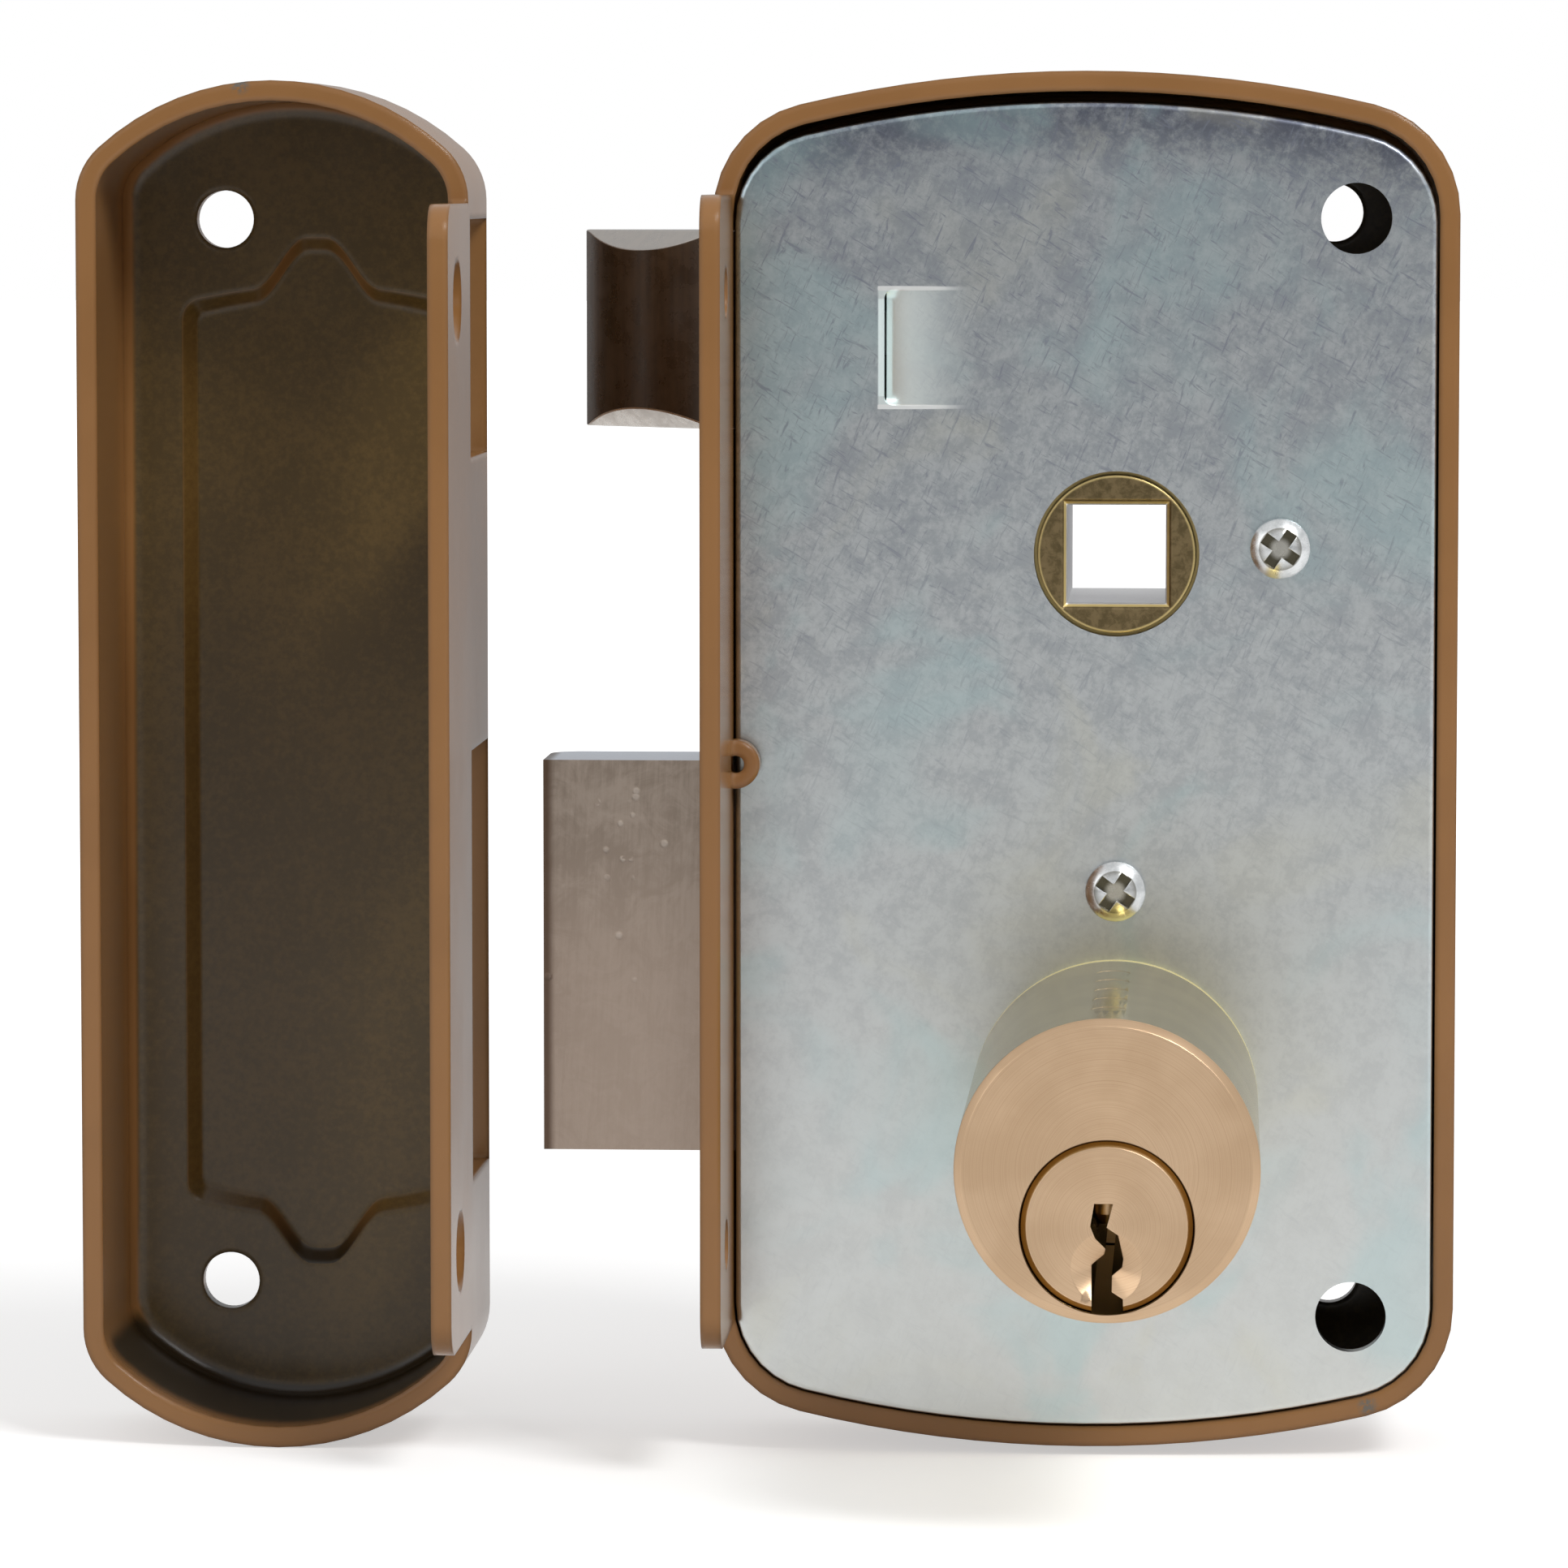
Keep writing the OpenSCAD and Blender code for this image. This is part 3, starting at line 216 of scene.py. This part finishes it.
# Plate screws: X and Z, top of their heads along Y, reach of the cross recess
SCREWS = [(13.8, 47.1), (0.0, 18.0)]
HEAD_Y = -1.8
RECESS_R = 1.8
# Height and radius of the hub, half width of its square hole
HUB_Z = 46.6
HUB_R = 6.65
SQUARE_HALF = 4.15
# Height of the plug and radius of the seam round it
PLUG_Z = -4.45
SEAM_R = 6.9
# Radius of the case's arched top and the place of its middle
ARCH_R = 105.0
ARCH_X = -2.7
ARCH_Z = -17.7
# Along Y, the floor of the pressed boxes, and their raised panel inside and outside
FLOOR_Y = 18.3
PANEL_IN_Y = 19.6
PANEL_OUT_Y = 21.3
# The bolt's end, and the middle of the beaten spot on its face
BOLT_END_X = -49.1
BEATEN = (-42.6, 4.6, 22.2)
# Free edge, middle height and half height of the tongue in the back plate
TONGUE_X = -19.7
TONGUE_Z = 64.0
TONGUE_HALF = 4.9


def paint():
    s = Shader("brown_enamel")
    cloud = s.noise(12, 3, 0.5)
    base = s.mix(s.fit(cloud, 0.35, 0.65), rgb(139, 98, 57), rgb(144, 102, 60))
    # Thinner paint with painted shade: darker and olive on the floor of the boxes and in the hollow of the
    # raised panel, on its slopes and on fillets that face up
    depth = s.fit(s.axis("Y"), (FLOOR_Y - 1.4) * MM, (FLOOR_Y - 0.7) * MM)
    floor = s.fit(s.facing("Y"), -0.75, -0.97)
    panel = s.fit(s.axis("Y"), (FLOOR_Y - 0.1) * MM, (FLOOR_Y + 0.1) * MM)
    # Painted shade on the slopes of the raised panel and on the fillets that face up
    shaded_slopes_and_fillets = s.calc("MAXIMUM", panel, s.fit(s.facing("Z"), 0.1, 0.4))
    shaded_slopes_and_fillets = s.calc("MULTIPLY", shaded_slopes_and_fillets, s.fit(s.facing("Y"), -0.3, -0.8))
    inside = s.calc("MULTIPLY", depth, s.calc("MAXIMUM", floor, shaded_slopes_and_fillets))
    fine = s.calc("MULTIPLY", s.noise(0.6, 4, 0.7), 0.6)
    grain = s.calc("ADD", fine, s.calc("MULTIPLY", s.noise(9, 4), 0.4))
    thin_paint_and_shade = s.mix(s.fit(grain, 0.4, 0.62), rgb(79, 62, 29), rgb(93, 73, 36))
    base = s.mix(inside, base, thin_paint_and_shade)
    # Painted shade on the dark inner side of the lower wall
    low = s.calc("MULTIPLY", s.fit(s.axis("Z"), -10 * MM, -17 * MM), s.fit(s.facing("Z"), 0.1, 0.5))
    low = s.calc("MULTIPLY", low, s.fit(s.axis("Y"), 1.2 * MM, 5 * MM))
    base = s.mix(low, base, rgb(46, 37, 24))
    for chip in CHIPS:
        worn = s.calc("MULTIPLY", s.near(chip, 0.25, 1.1), s.fit(s.noise(0.5, 4, 0.7), 0.42, 0.52))
        base = s.mix(worn, base, rgb(104, 98, 90))
    s.set(Base_Color=base, Roughness=s.fit(cloud, 0.3, 0.7, 0.19, 0.215), Specular_IOR_Level=0.35,
          Normal=s.bump(s.noise(5, 2, 0.5), 0.03, 0.1, s.round_edges(0.75)))
    return s.material


def zinc():
    s = Shader("zinc_plating")
    mottle = s.noise(2.8, 6, 0.66, twist=0.4)
    fine = s.noise(0.6, 4, 0.7)
    shade = s.calc("ADD", s.calc("MULTIPLY", mottle, 0.6), s.calc("MULTIPLY", fine, 0.4))
    # Painted shade: bright and even low down, darker toward the top and along the arched top, where flecks
    # and smoky marks also gather
    upper = s.fit(s.axis("Z"), -45 * MM, 100 * MM)
    base = s.mix(upper, rgb(200, 202, 200), rgb(160, 166, 171))
    fleck = s.calc("MULTIPLY", s.fit(shade, 0.42, 0.66), s.fit(upper, 0.15, 0.8, 0.12, 0.45))
    base = s.mix(fleck, base, rgb(216, 220, 220))
    smoky = s.calc("MULTIPLY", s.fit(shade, 0.54, 0.4), s.calc("MULTIPLY", upper, 0.38))
    base = s.mix(smoky, base, rgb(128, 134, 146))
    top_edge_shade = s.fit(s.radius(ARCH_X, ARCH_Z), (ARCH_R - 9) * MM, (ARCH_R - 2.5) * MM)
    top_edge_shade = s.calc("MULTIPLY", top_edge_shade, s.fit(s.axis("Z"), 72 * MM, 80 * MM))
    top_edge_shade = s.calc("MULTIPLY", top_edge_shade, s.fit(shade, 0.62, 0.4, 0.45, 1.0))
    base = s.mix(top_edge_shade, base, rgb(96, 100, 113))
    # Bluish and yellowish tints, and crossing hairs
    tint = s.noise(19, 3, 0.5, twist=1.0)
    base = s.mix(s.fit(tint, 0.5, 0.68, 0.0, 0.45), base, rgb(172, 198, 200))
    base = s.mix(s.fit(tint, 0.44, 0.3, 0.0, 0.3), base, rgb(200, 198, 182))
    hair = s.fit(s.noise(0.35, 4, 0.65, at=s.stretch(8, 1, 1, 32), twist=1.0), 0.55, 0.68)
    cross = s.fit(s.noise(0.35, 4, 0.65, at=s.stretch(1, 1, 8, 24), twist=1.0), 0.55, 0.68)
    marks = s.calc("MULTIPLY", s.calc("MAXIMUM", hair, cross), s.fit(upper, 0.3, 1.0, 0.06, 0.75))
    base = s.mix(marks, base, rgb(124, 129, 141))
    # Painted highlight on the tongue, toward its free edge and along its upper and lower sides
    x = s.axis("X")
    from_middle = s.calc("ABSOLUTE", s.calc("SUBTRACT", s.axis("Z"), TONGUE_Z * MM))
    across = s.calc("MULTIPLY", s.fit(x, (TONGUE_X + 8.5) * MM, TONGUE_X * MM),
                    s.fit(x, (TONGUE_X - 0.6) * MM, (TONGUE_X - 0.4) * MM))
    tongue = s.calc("MULTIPLY", across, s.fit(from_middle, (TONGUE_HALF + 0.3) * MM, TONGUE_HALF * MM))
    base = s.mix(s.calc("MULTIPLY", tongue, 0.85), base, rgb(238, 248, 246))
    # Painted highlight lines along the tongue's upper and lower sides
    from_side = s.calc("ABSOLUTE", s.calc("SUBTRACT", from_middle, (TONGUE_HALF + 0.1) * MM))
    side = s.calc("MULTIPLY", across, s.fit(from_side, 0.25 * MM, 0.1 * MM))
    base = s.mix(s.fit(side, 0.0, 0.5), base, rgb(246, 248, 247))
    rough = s.calc("ADD", s.fit(shade, 0.3, 0.7, 0.32, 0.28), s.calc("MULTIPLY", marks, 0.06))
    s.set(Base_Color=base, Metallic=1.0, Roughness=rough, Normal=s.bump(shade, 0.015, 0.15))
    return s.material


def steel(name, light, dark, rough):
    s = Shader(name)
    cloud = s.noise(3, 5, 0.65)
    line = s.noise(0.5, 3, 0.6, at=s.stretch(1, 1, 20))
    base = s.mix(s.fit(s.calc("ADD", cloud, line), 0.75, 1.25), dark, light)
    s.set(Base_Color=base, Metallic=1.0, Roughness=s.fit(cloud, 0.3, 0.7, rough, rough + 0.12),
          Normal=s.bump(line, 0.02, 0.3))
    return s.material


def bright_zinc():
    s = Shader("bright_zinc_screw")
    cloud = s.noise(1.2, 5, 0.65)
    base = s.mix(s.fit(cloud, 0.35, 0.65), rgb(192, 195, 196), rgb(218, 220, 221))
    for x, z in SCREWS:
        from_axis = s.radius(x, z)
        recess = s.calc("MULTIPLY", s.fit(from_axis, (RECESS_R + 0.05) * MM, (RECESS_R - 0.05) * MM),
                        s.fit(s.axis("Y"), (HEAD_Y + 0.05) * MM, (HEAD_Y + 0.7) * MM))
        # Painted shade in the cross recess, lighter at its middle
        recess_shade = s.mix(s.fit(from_axis, 0.5 * MM, 1.1 * MM), rgb(184, 182, 174), rgb(92, 88, 74))
        base = s.mix(recess, base, recess_shade)
    s.set(Base_Color=base, Metallic=1.0, Roughness=s.fit(cloud, 0.3, 0.7, 0.22, 0.3),
          Normal=s.bump(cloud, 0.02, 0.2))
    return s.material


def passivated():
    s = Shader("yellow_passivated_steel")
    cloud = s.noise(0.8, 6, 0.7, twist=0.4)
    base = s.mix(s.fit(cloud, 0.38, 0.62), rgb(100, 87, 61), rgb(122, 106, 77))
    # Painted highlights on the outer rim and on the lip of the square hole, and painted light inside the
    # square hole
    rim_highlight = s.fit(s.radius(0, HUB_Z), (HUB_R - 0.25) * MM, (HUB_R - 0.1) * MM)
    across = s.calc("ABSOLUTE", s.axis("X"))
    upward = s.calc("ABSOLUTE", s.calc("SUBTRACT", s.axis("Z"), HUB_Z * MM))
    from_axis = s.calc("MAXIMUM", across, upward)
    lip_highlight = s.fit(from_axis, (SQUARE_HALF + 0.35) * MM, (SQUARE_HALF + 0.25) * MM)
    base = s.mix(s.calc("MAXIMUM", s.calc("MULTIPLY", rim_highlight, 0.6), lip_highlight), base, rgb(214, 192, 132))
    lit_tunnel = s.fit(from_axis, (SQUARE_HALF + 0.15) * MM, (SQUARE_HALF + 0.05) * MM)
    base = s.mix(lit_tunnel, base, rgb(232, 232, 234))
    s.set(Base_Color=base, Metallic=1.0, Roughness=s.fit(cloud, 0.3, 0.7, 0.28, 0.38),
          Normal=s.bump(s.noise(0.6, 4), 0.015, 0.3, s.round_edges(0.25)))
    return s.material


def turned_brass(name, centre_z):
    s = Shader(name)
    to_axis = s.add("ShaderNodeVectorMath", operation="SUBTRACT")
    s.put(to_axis.inputs[0], s.place)
    to_axis.inputs[1].default_value = (0, 0, centre_z * MM)
    round_axis = s.add("ShaderNodeVectorMath", operation="CROSS_PRODUCT")
    s.put(round_axis.inputs[0], to_axis.outputs[0])
    round_axis.inputs[1].default_value = (0, 1, 0)
    groove = s.add("ShaderNodeTexNoise", noise_dimensions="1D")
    s.put(groove.inputs["W"], s.radius(0, centre_z))
    groove.inputs["Scale"].default_value = 1 / (0.1 * MM)
    groove.inputs["Detail"].default_value = 3
    face = s.fit(s.facing("Y"), -0.15, -0.45)
    cloud = s.noise(6, 3, 0.5)
    base = s.mix(s.fit(cloud, 0.34, 0.66), rgb(190, 161, 130), rgb(200, 171, 140))
    base = s.mix(s.fit(groove.outputs["Fac"], 0.4, 0.7, 0.0, 0.3), base, rgb(168, 134, 104))
    # Painted shade in the seam round the plug, yellower sides, and a painted highlight as a pale line at
    # the root by the plate
    from_seam = s.calc("ABSOLUTE", s.calc("SUBTRACT", s.radius(0, PLUG_Z), SEAM_R * MM))
    base = s.mix(s.fit(from_seam, 0.12 * MM, 0.06 * MM), base, rgb(66, 44, 26))
    side = s.mix(s.fit(cloud, 0.34, 0.66), rgb(199, 178, 108), rgb(211, 189, 120))
    base = s.mix(face, side, base)
    root_highlight = s.fit(s.axis("Y"), -1.6 * MM, -1.3 * MM)
    base = s.mix(root_highlight, base, rgb(250, 232, 150))
    s.set(Base_Color=base, Metallic=s.fit(root_highlight, 0.0, 1.0, 1.0, 0.2),
          Roughness=s.fit(face, 0.0, 1.0, 0.2, 0.28), Anisotropic=0.6,
          Tangent=round_axis.outputs[0],
          Normal=s.bump(groove.outputs["Fac"], 0.008, 0.3, s.round_edges(0.12)))
    return s.material


def worn_bolt():
    s = Shader("worn_bolt_steel")
    streak = s.noise(0.45, 5, 0.65, at=s.stretch(1, 1, 14, 3))
    cloud = s.noise(3.2, 5, 0.66, twist=0.8)
    tone = s.calc("ADD", s.calc("MULTIPLY", streak, 0.35), s.calc("MULTIPLY", cloud, 0.65))
    base = s.mix(s.fit(tone, 0.38, 0.62), rgb(139, 126, 114), rgb(164, 151, 139))
    height = s.fit(s.axis("Z"), 27 * MM, 8 * MM)
    base = s.mix(s.calc("MULTIPLY", height, 0.4), base, rgb(184, 164, 150))
    # Pits, closer together on the beaten spot
    spot = s.fit(s.cells(1.3), 0.3, 0.16)
    beaten = s.calc("MULTIPLY", s.near(BEATEN, 2.0, 5.5), s.fit(s.noise(2.2, 3, 0.6), 0.5, 0.56))
    pit = s.calc("MAXIMUM", s.fit(s.cells(4.3), 0.1, 0.04), s.calc("MULTIPLY", spot, beaten))
    base = s.mix(s.calc("MULTIPLY", pit, 0.35), base, rgb(206, 196, 186))
    # Painted reflection: the upward-facing top is pale and bluish
    top_face_reflection = s.fit(s.facing("Z"), 0.4, 0.8)
    base = s.mix(top_face_reflection, base, rgb(206, 212, 222))
    tip = s.fit(s.axis("X"), (BOLT_END_X + 1.1) * MM, (BOLT_END_X + 0.3) * MM)
    base = s.mix(s.calc("MULTIPLY", tip, 0.85), base, rgb(84, 64, 50))
    s.set(Base_Color=base, Metallic=1.0, Roughness=s.fit(tone, 0.35, 0.65, 0.32, 0.42),
          Normal=s.bump(s.calc("SUBTRACT", s.calc("MULTIPLY", streak, 0.4), pit), 0.06, 0.4))
    return s.material


def burnished():
    s = Shader("burnished_latch_steel")
    cloud = s.noise(2.6, 5, 0.66)
    line = s.noise(0.6, 4, 0.6, at=s.stretch(1, 1, 12))
    tone = s.calc("ADD", s.calc("MULTIPLY", cloud, 0.5), s.calc("MULTIPLY", line, 0.5))
    dark = s.mix(s.fit(tone, 0.36, 0.64), rgb(58, 41, 25), rgb(74, 54, 35))
    # Ground chamfers over and under the dark face, painted lighter on the lower one and darker on the
    # upper one as lit and shaded
    upward = s.facing("Z")
    ground_lit_and_shaded = s.mix(s.fit(upward, -0.3, 0.3), rgb(240, 235, 228), rgb(156, 152, 148))
    ground_lit_and_shaded = s.mix(s.fit(tone, 0.4, 0.6, 0.0, 0.25), ground_lit_and_shaded, rgb(176, 168, 160))
    facet = s.fit(s.calc("ABSOLUTE", upward), 0.2, 0.4)
    base = s.mix(facet, dark, ground_lit_and_shaded)
    s.set(Base_Color=base, Metallic=s.fit(facet, 0.0, 1.0, 0.3, 1.0),
          Roughness=s.fit(cloud, 0.3, 0.7, 0.24, 0.34), Normal=s.bump(s.noise(0.7, 4), 0.02, 0.3))
    return s.material


PAINT = paint()
ZINC = zinc()
STEEL = steel("plain_steel", rgb(196, 196, 194), rgb(150, 150, 150), 0.3)
BRIGHT = bright_zinc()
GOLD = passivated()
BODY_BRASS = turned_brass("turned_brass_body", 0.0)
PLUG_BRASS = turned_brass("turned_brass_plug", PLUG_Z)
BOLT = worn_bolt()
LATCH = burnished()

LOOKS = {
    "paint": PAINT, "zinc_plate": ZINC, "passivated": GOLD, "steel": STEEL,
    "brass": BODY_BRASS, "bright_screw": BRIGHT, "latch_steel": LATCH,
}
OWN_LOOK = {"cylinder_plug": PLUG_BRASS, "deadbolt_head": BOLT}
BEVEL_MM = {
    "latch_head": 0.15, "deadbolt_head": 0.4, "plate_screws": 0.15, "cylinder_body": 0.12,
    "thumb_turn": 0.6, "drive_cam": 0.2, "deadbolt_tail": 0.2, "latch_tail": 0.2, "spring_stop": 0.2,
    "cylinder_screws": 0.2, "cam_pin": 0.2, "plug_clip": 0.1,
}
# Points closer than the first are merged, and faces nearer than the second to a level lie on it
WELD_MM = 0.002
LEVEL_MM = 0.01
# Angles in degrees: edges shaded smooth up to this, edges bevelled from this, faces joined up to this
SMOOTH_DEG = 32
BEVEL_DEG = 38
FLAT_DEG = 0.3


def modifier_tree(name):
    """Empty tree for a modifier, with geometry in and out."""
    group = bpy.data.node_groups.new(name, "GeometryNodeTree")
    for way in ("INPUT", "OUTPUT"):
        group.interface.new_socket("Geometry", in_out=way, socket_type="NodeSocketGeometry")
    return Tree(group)


def shading_group(angle):
    """Modifier tree that shades faces smooth and keeps edges sharper than the angle sharp."""
    t = modifier_tree("smooth_by_angle")
    faces = t.add("GeometryNodeSetShadeSmooth", domain="FACE")
    t.put(faces.inputs["Geometry"], t.add("NodeGroupInput").outputs[0])
    flat = t.add("FunctionNodeCompare", operation="LESS_EQUAL")
    t.put(flat.inputs["A"], t.add("GeometryNodeInputMeshEdgeAngle").outputs["Unsigned Angle"])
    t.put(flat.inputs["B"], angle)
    edges = t.add("GeometryNodeSetShadeSmooth", domain="EDGE")
    t.put(edges.inputs["Geometry"], faces.outputs[0])
    t.put(edges.inputs["Shade Smooth"], flat.outputs[0])
    t.put(t.add("NodeGroupOutput").inputs[0], edges.outputs[0])
    return t.tree


def refill_group(level, facing, look):
    """Modifier tree that fills a flat face at a level of Y anew, where the imported mesh has a gap."""
    t = modifier_tree("refill_face")
    place = t.split(t.add("GeometryNodeInputPosition").outputs[0])
    off_level = t.calc("ABSOLUTE", t.calc("SUBTRACT", place["Y"], level))
    cut = t.add("GeometryNodeDeleteGeometry", domain="FACE")
    t.put(cut.inputs["Geometry"], t.add("NodeGroupInput").outputs[0])
    t.put(cut.inputs["Selection"], t.calc("LESS_THAN", off_level, LEVEL_MM * MM))
    border = t.add("GeometryNodeSeparateGeometry", domain="EDGE")
    t.put(border.inputs["Geometry"], cut.outputs[0])
    sides = t.add("GeometryNodeInputMeshEdgeNeighbors").outputs["Face Count"]
    t.put(border.inputs["Selection"], t.calc("LESS_THAN", sides, 1.5))
    outline = t.add("GeometryNodeMeshToCurve")
    t.put(outline.inputs[0], border.outputs[0])
    # Curves are filled lying flat, so the outline is laid down for that and raised again
    laid = t.add("GeometryNodeTransform")
    t.put(laid.inputs["Geometry"], outline.outputs[0])
    t.put(laid.inputs["Rotation"], (facing * math.pi / 2, 0, 0))
    filled = t.add("GeometryNodeFillCurve")
    t.put(filled.inputs[0], laid.outputs[0])
    raised = t.add("GeometryNodeTransform")
    t.put(raised.inputs["Geometry"], filled.outputs[0])
    t.put(raised.inputs["Rotation"], (-facing * math.pi / 2, 0, 0))
    t.put(raised.inputs["Translation"], (0, level, 0))
    painted = t.add("GeometryNodeSetMaterial")
    t.put(painted.inputs["Geometry"], raised.outputs[0])
    t.put(painted.inputs["Material"], look)
    whole = t.add("GeometryNodeJoinGeometry")
    t.put(whole.inputs[0], painted.outputs[0])
    t.put(whole.inputs[0], cut.outputs[0])
    joined = t.add("GeometryNodeMergeByDistance")
    t.put(joined.inputs["Geometry"], whole.outputs[0])
    t.put(joined.inputs["Distance"], WELD_MM * MM)
    t.put(t.add("NodeGroupOutput").inputs[0], joined.outputs[0])
    return t.tree


def dress(obj, look, bevel_mm, shading, refills):
    obj.data.materials.clear()
    obj.data.materials.append(look)
    weld = obj.modifiers.new("weld", "WELD")
    weld.merge_threshold = WELD_MM * MM
    for group in refills:
        obj.modifiers.new(group.name, "NODES").node_group = group
    if bevel_mm:
        flat = obj.modifiers.new("flat_faces", "DECIMATE")
        flat.decimate_type = "DISSOLVE"
        flat.angle_limit = math.radians(FLAT_DEG)
        bevel = obj.modifiers.new("edge", "BEVEL")
        bevel.width = bevel_mm * MM
        bevel.segments = 4
        bevel.limit_method = "ANGLE"
        bevel.angle_limit = math.radians(BEVEL_DEG)
        bevel.use_clamp_overlap = True
    obj.modifiers.new("smooth", "NODES").node_group = shading
    even = obj.modifiers.new("even_normals", "WEIGHTED_NORMAL")
    even.keep_sharp = True


def add_spring(node, look, shading):
    """Coil in place of a rigid spring node, fixed to the lock frame; the real spring shortens toward its
    +X end as the joint moves.
    """
    coil = bpy.data.objects.new(node + "_coil", NODES[node].data.copy())
    bpy.context.scene.collection.objects.link(coil)
    dress(coil, look, None, shading, [])
    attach(coil, "lock_frame")
    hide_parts(node)
    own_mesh(coil)


def aim(start, target):
    """Turn of a camera or lamp that looks from start to target."""
    return (Vector(target) - Vector(start)).to_track_quat("-Z", "Y").to_euler()


def add_camera():
    data = bpy.data.cameras.new("camera")
    data.sensor_width = SENSOR_MM
    data.lens = FOCAL_PX * SENSOR_MM / IMAGE_PX
    camera = bpy.data.objects.new("camera", data)
    bpy.context.scene.collection.objects.link(camera)
    camera.location = Vector(CAMERA_AT) * MM
    camera.rotation_euler = aim(camera.location, Vector(CAMERA_TARGET) * MM)
    bpy.context.scene.camera = camera


def add_lamp(name, at, width, power):
    data = bpy.data.lights.new(name, "AREA")
    data.shape = "RECTANGLE"
    data.size = width
    data.size_y = width
    data.energy = power
    lamp = bpy.data.objects.new(name, data)
    bpy.context.scene.collection.objects.link(lamp)
    lamp.location = at
    lamp.rotation_euler = aim(at, LAMP_TARGET)


def add_world():
    """Even light. Mirrors see it white, but darker low behind the camera and beyond the part."""
    world = bpy.data.worlds.new("studio")
    bpy.context.scene.world = world
    world.use_nodes = True
    world.node_tree.nodes.clear()
    t = Tree(world.node_tree)

    def white(strength):
        node = t.add("ShaderNodeBackground")
        t.put(node.inputs["Color"], (1, 1, 1, 1))
        t.put(node.inputs["Strength"], strength)
        return node.outputs[0]

    way = t.split(t.add("ShaderNodeTexCoord").outputs["Generated"])
    behind = t.fit(way["Y"], -0.97, -0.6, 1.0, 0.0)
    shade = t.calc("MULTIPLY", behind, t.fit(way["Z"], 0.02, 0.16, 0.9, 0.1))
    beyond = t.fit(way["Y"], 0.8, 0.98, 0.0, 0.45)
    mirrored = white(t.calc("SUBTRACT", 0.95, t.calc("ADD", shade, beyond)))
    rays = t.add("ShaderNodeLightPath").outputs
    straight = t.calc("MAXIMUM", rays["Is Camera Ray"], rays["Is Transmission Ray"])
    lit = t.blend(rays["Is Glossy Ray"], white(0.5), mirrored)
    t.put(t.add("ShaderNodeOutputWorld").inputs["Surface"], t.blend(straight, lit, white(1.0)))


def add_floor():
    """Pale floor: white to the camera but for the shadow; mirrors see it fade toward the camera."""
    half = 6.0
    level = CAD_BOX[0].z - 0.05 * MM
    mesh = bpy.data.meshes.new("floor")
    corners = [(-half, -half, level), (half, -half, level), (half, half, level), (-half, half, level)]
    mesh.from_pydata(corners, [], [(0, 1, 2, 3)])
    floor = bpy.data.objects.new("floor", mesh)
    bpy.context.scene.collection.objects.link(floor)
    s = Shader("pale_floor")
    away = s.add("ShaderNodeVectorMath", operation="LENGTH")
    s.put(away.inputs[0], s.place)
    rays = s.add("ShaderNodeLightPath").outputs
    white = s.fit(away.outputs["Value"], 0.1, 0.6, 0.5, 1.0)
    y = s.axis("Y")
    fading = s.calc("MULTIPLY", s.fit(y, -1.3, -0.1, 0.0, 0.5), s.fit(y, 0.03, 0.2, 1.0, 0.0))
    glow = s.calc("ADD", s.calc("MULTIPLY", rays["Is Camera Ray"], white),
                  s.calc("MULTIPLY", rays["Is Glossy Ray"], fading))
    s.set(Base_Color=(0.7, 0.7, 0.7, 1), Roughness=0.9, Specular_IOR_Level=0.0,
          Emission_Color=(1, 1, 1, 1), Emission_Strength=glow)
    mesh.materials.append(s.material)


SMOOTH = shading_group(math.radians(SMOOTH_DEG))
# Both sides of the raised panel of each pressing, with the way along Y that each faces
PANEL_SIDES = [refill_group(PANEL_IN_Y * MM, -1, PAINT), refill_group(PANEL_OUT_Y * MM, 1, PAINT)]
REFILL = {"case": PANEL_SIDES, "keeper": PANEL_SIDES}
for part in frame["record"]["subparts"]:
    name = part["node"]
    look = OWN_LOOK.get(name, LOOKS[part["material_slot"]])
    dress(NODES[name], look, BEVEL_MM.get(name), SMOOTH, REFILL.get(name, []))

add_spring("latch_spring", STEEL, SMOOTH)
add_camera()
add_world()
add_floor()
for name, (at, width, power) in LAMPS.items():
    add_lamp(name, at, width, power)
bpy.context.scene.view_settings.view_transform = "Standard"
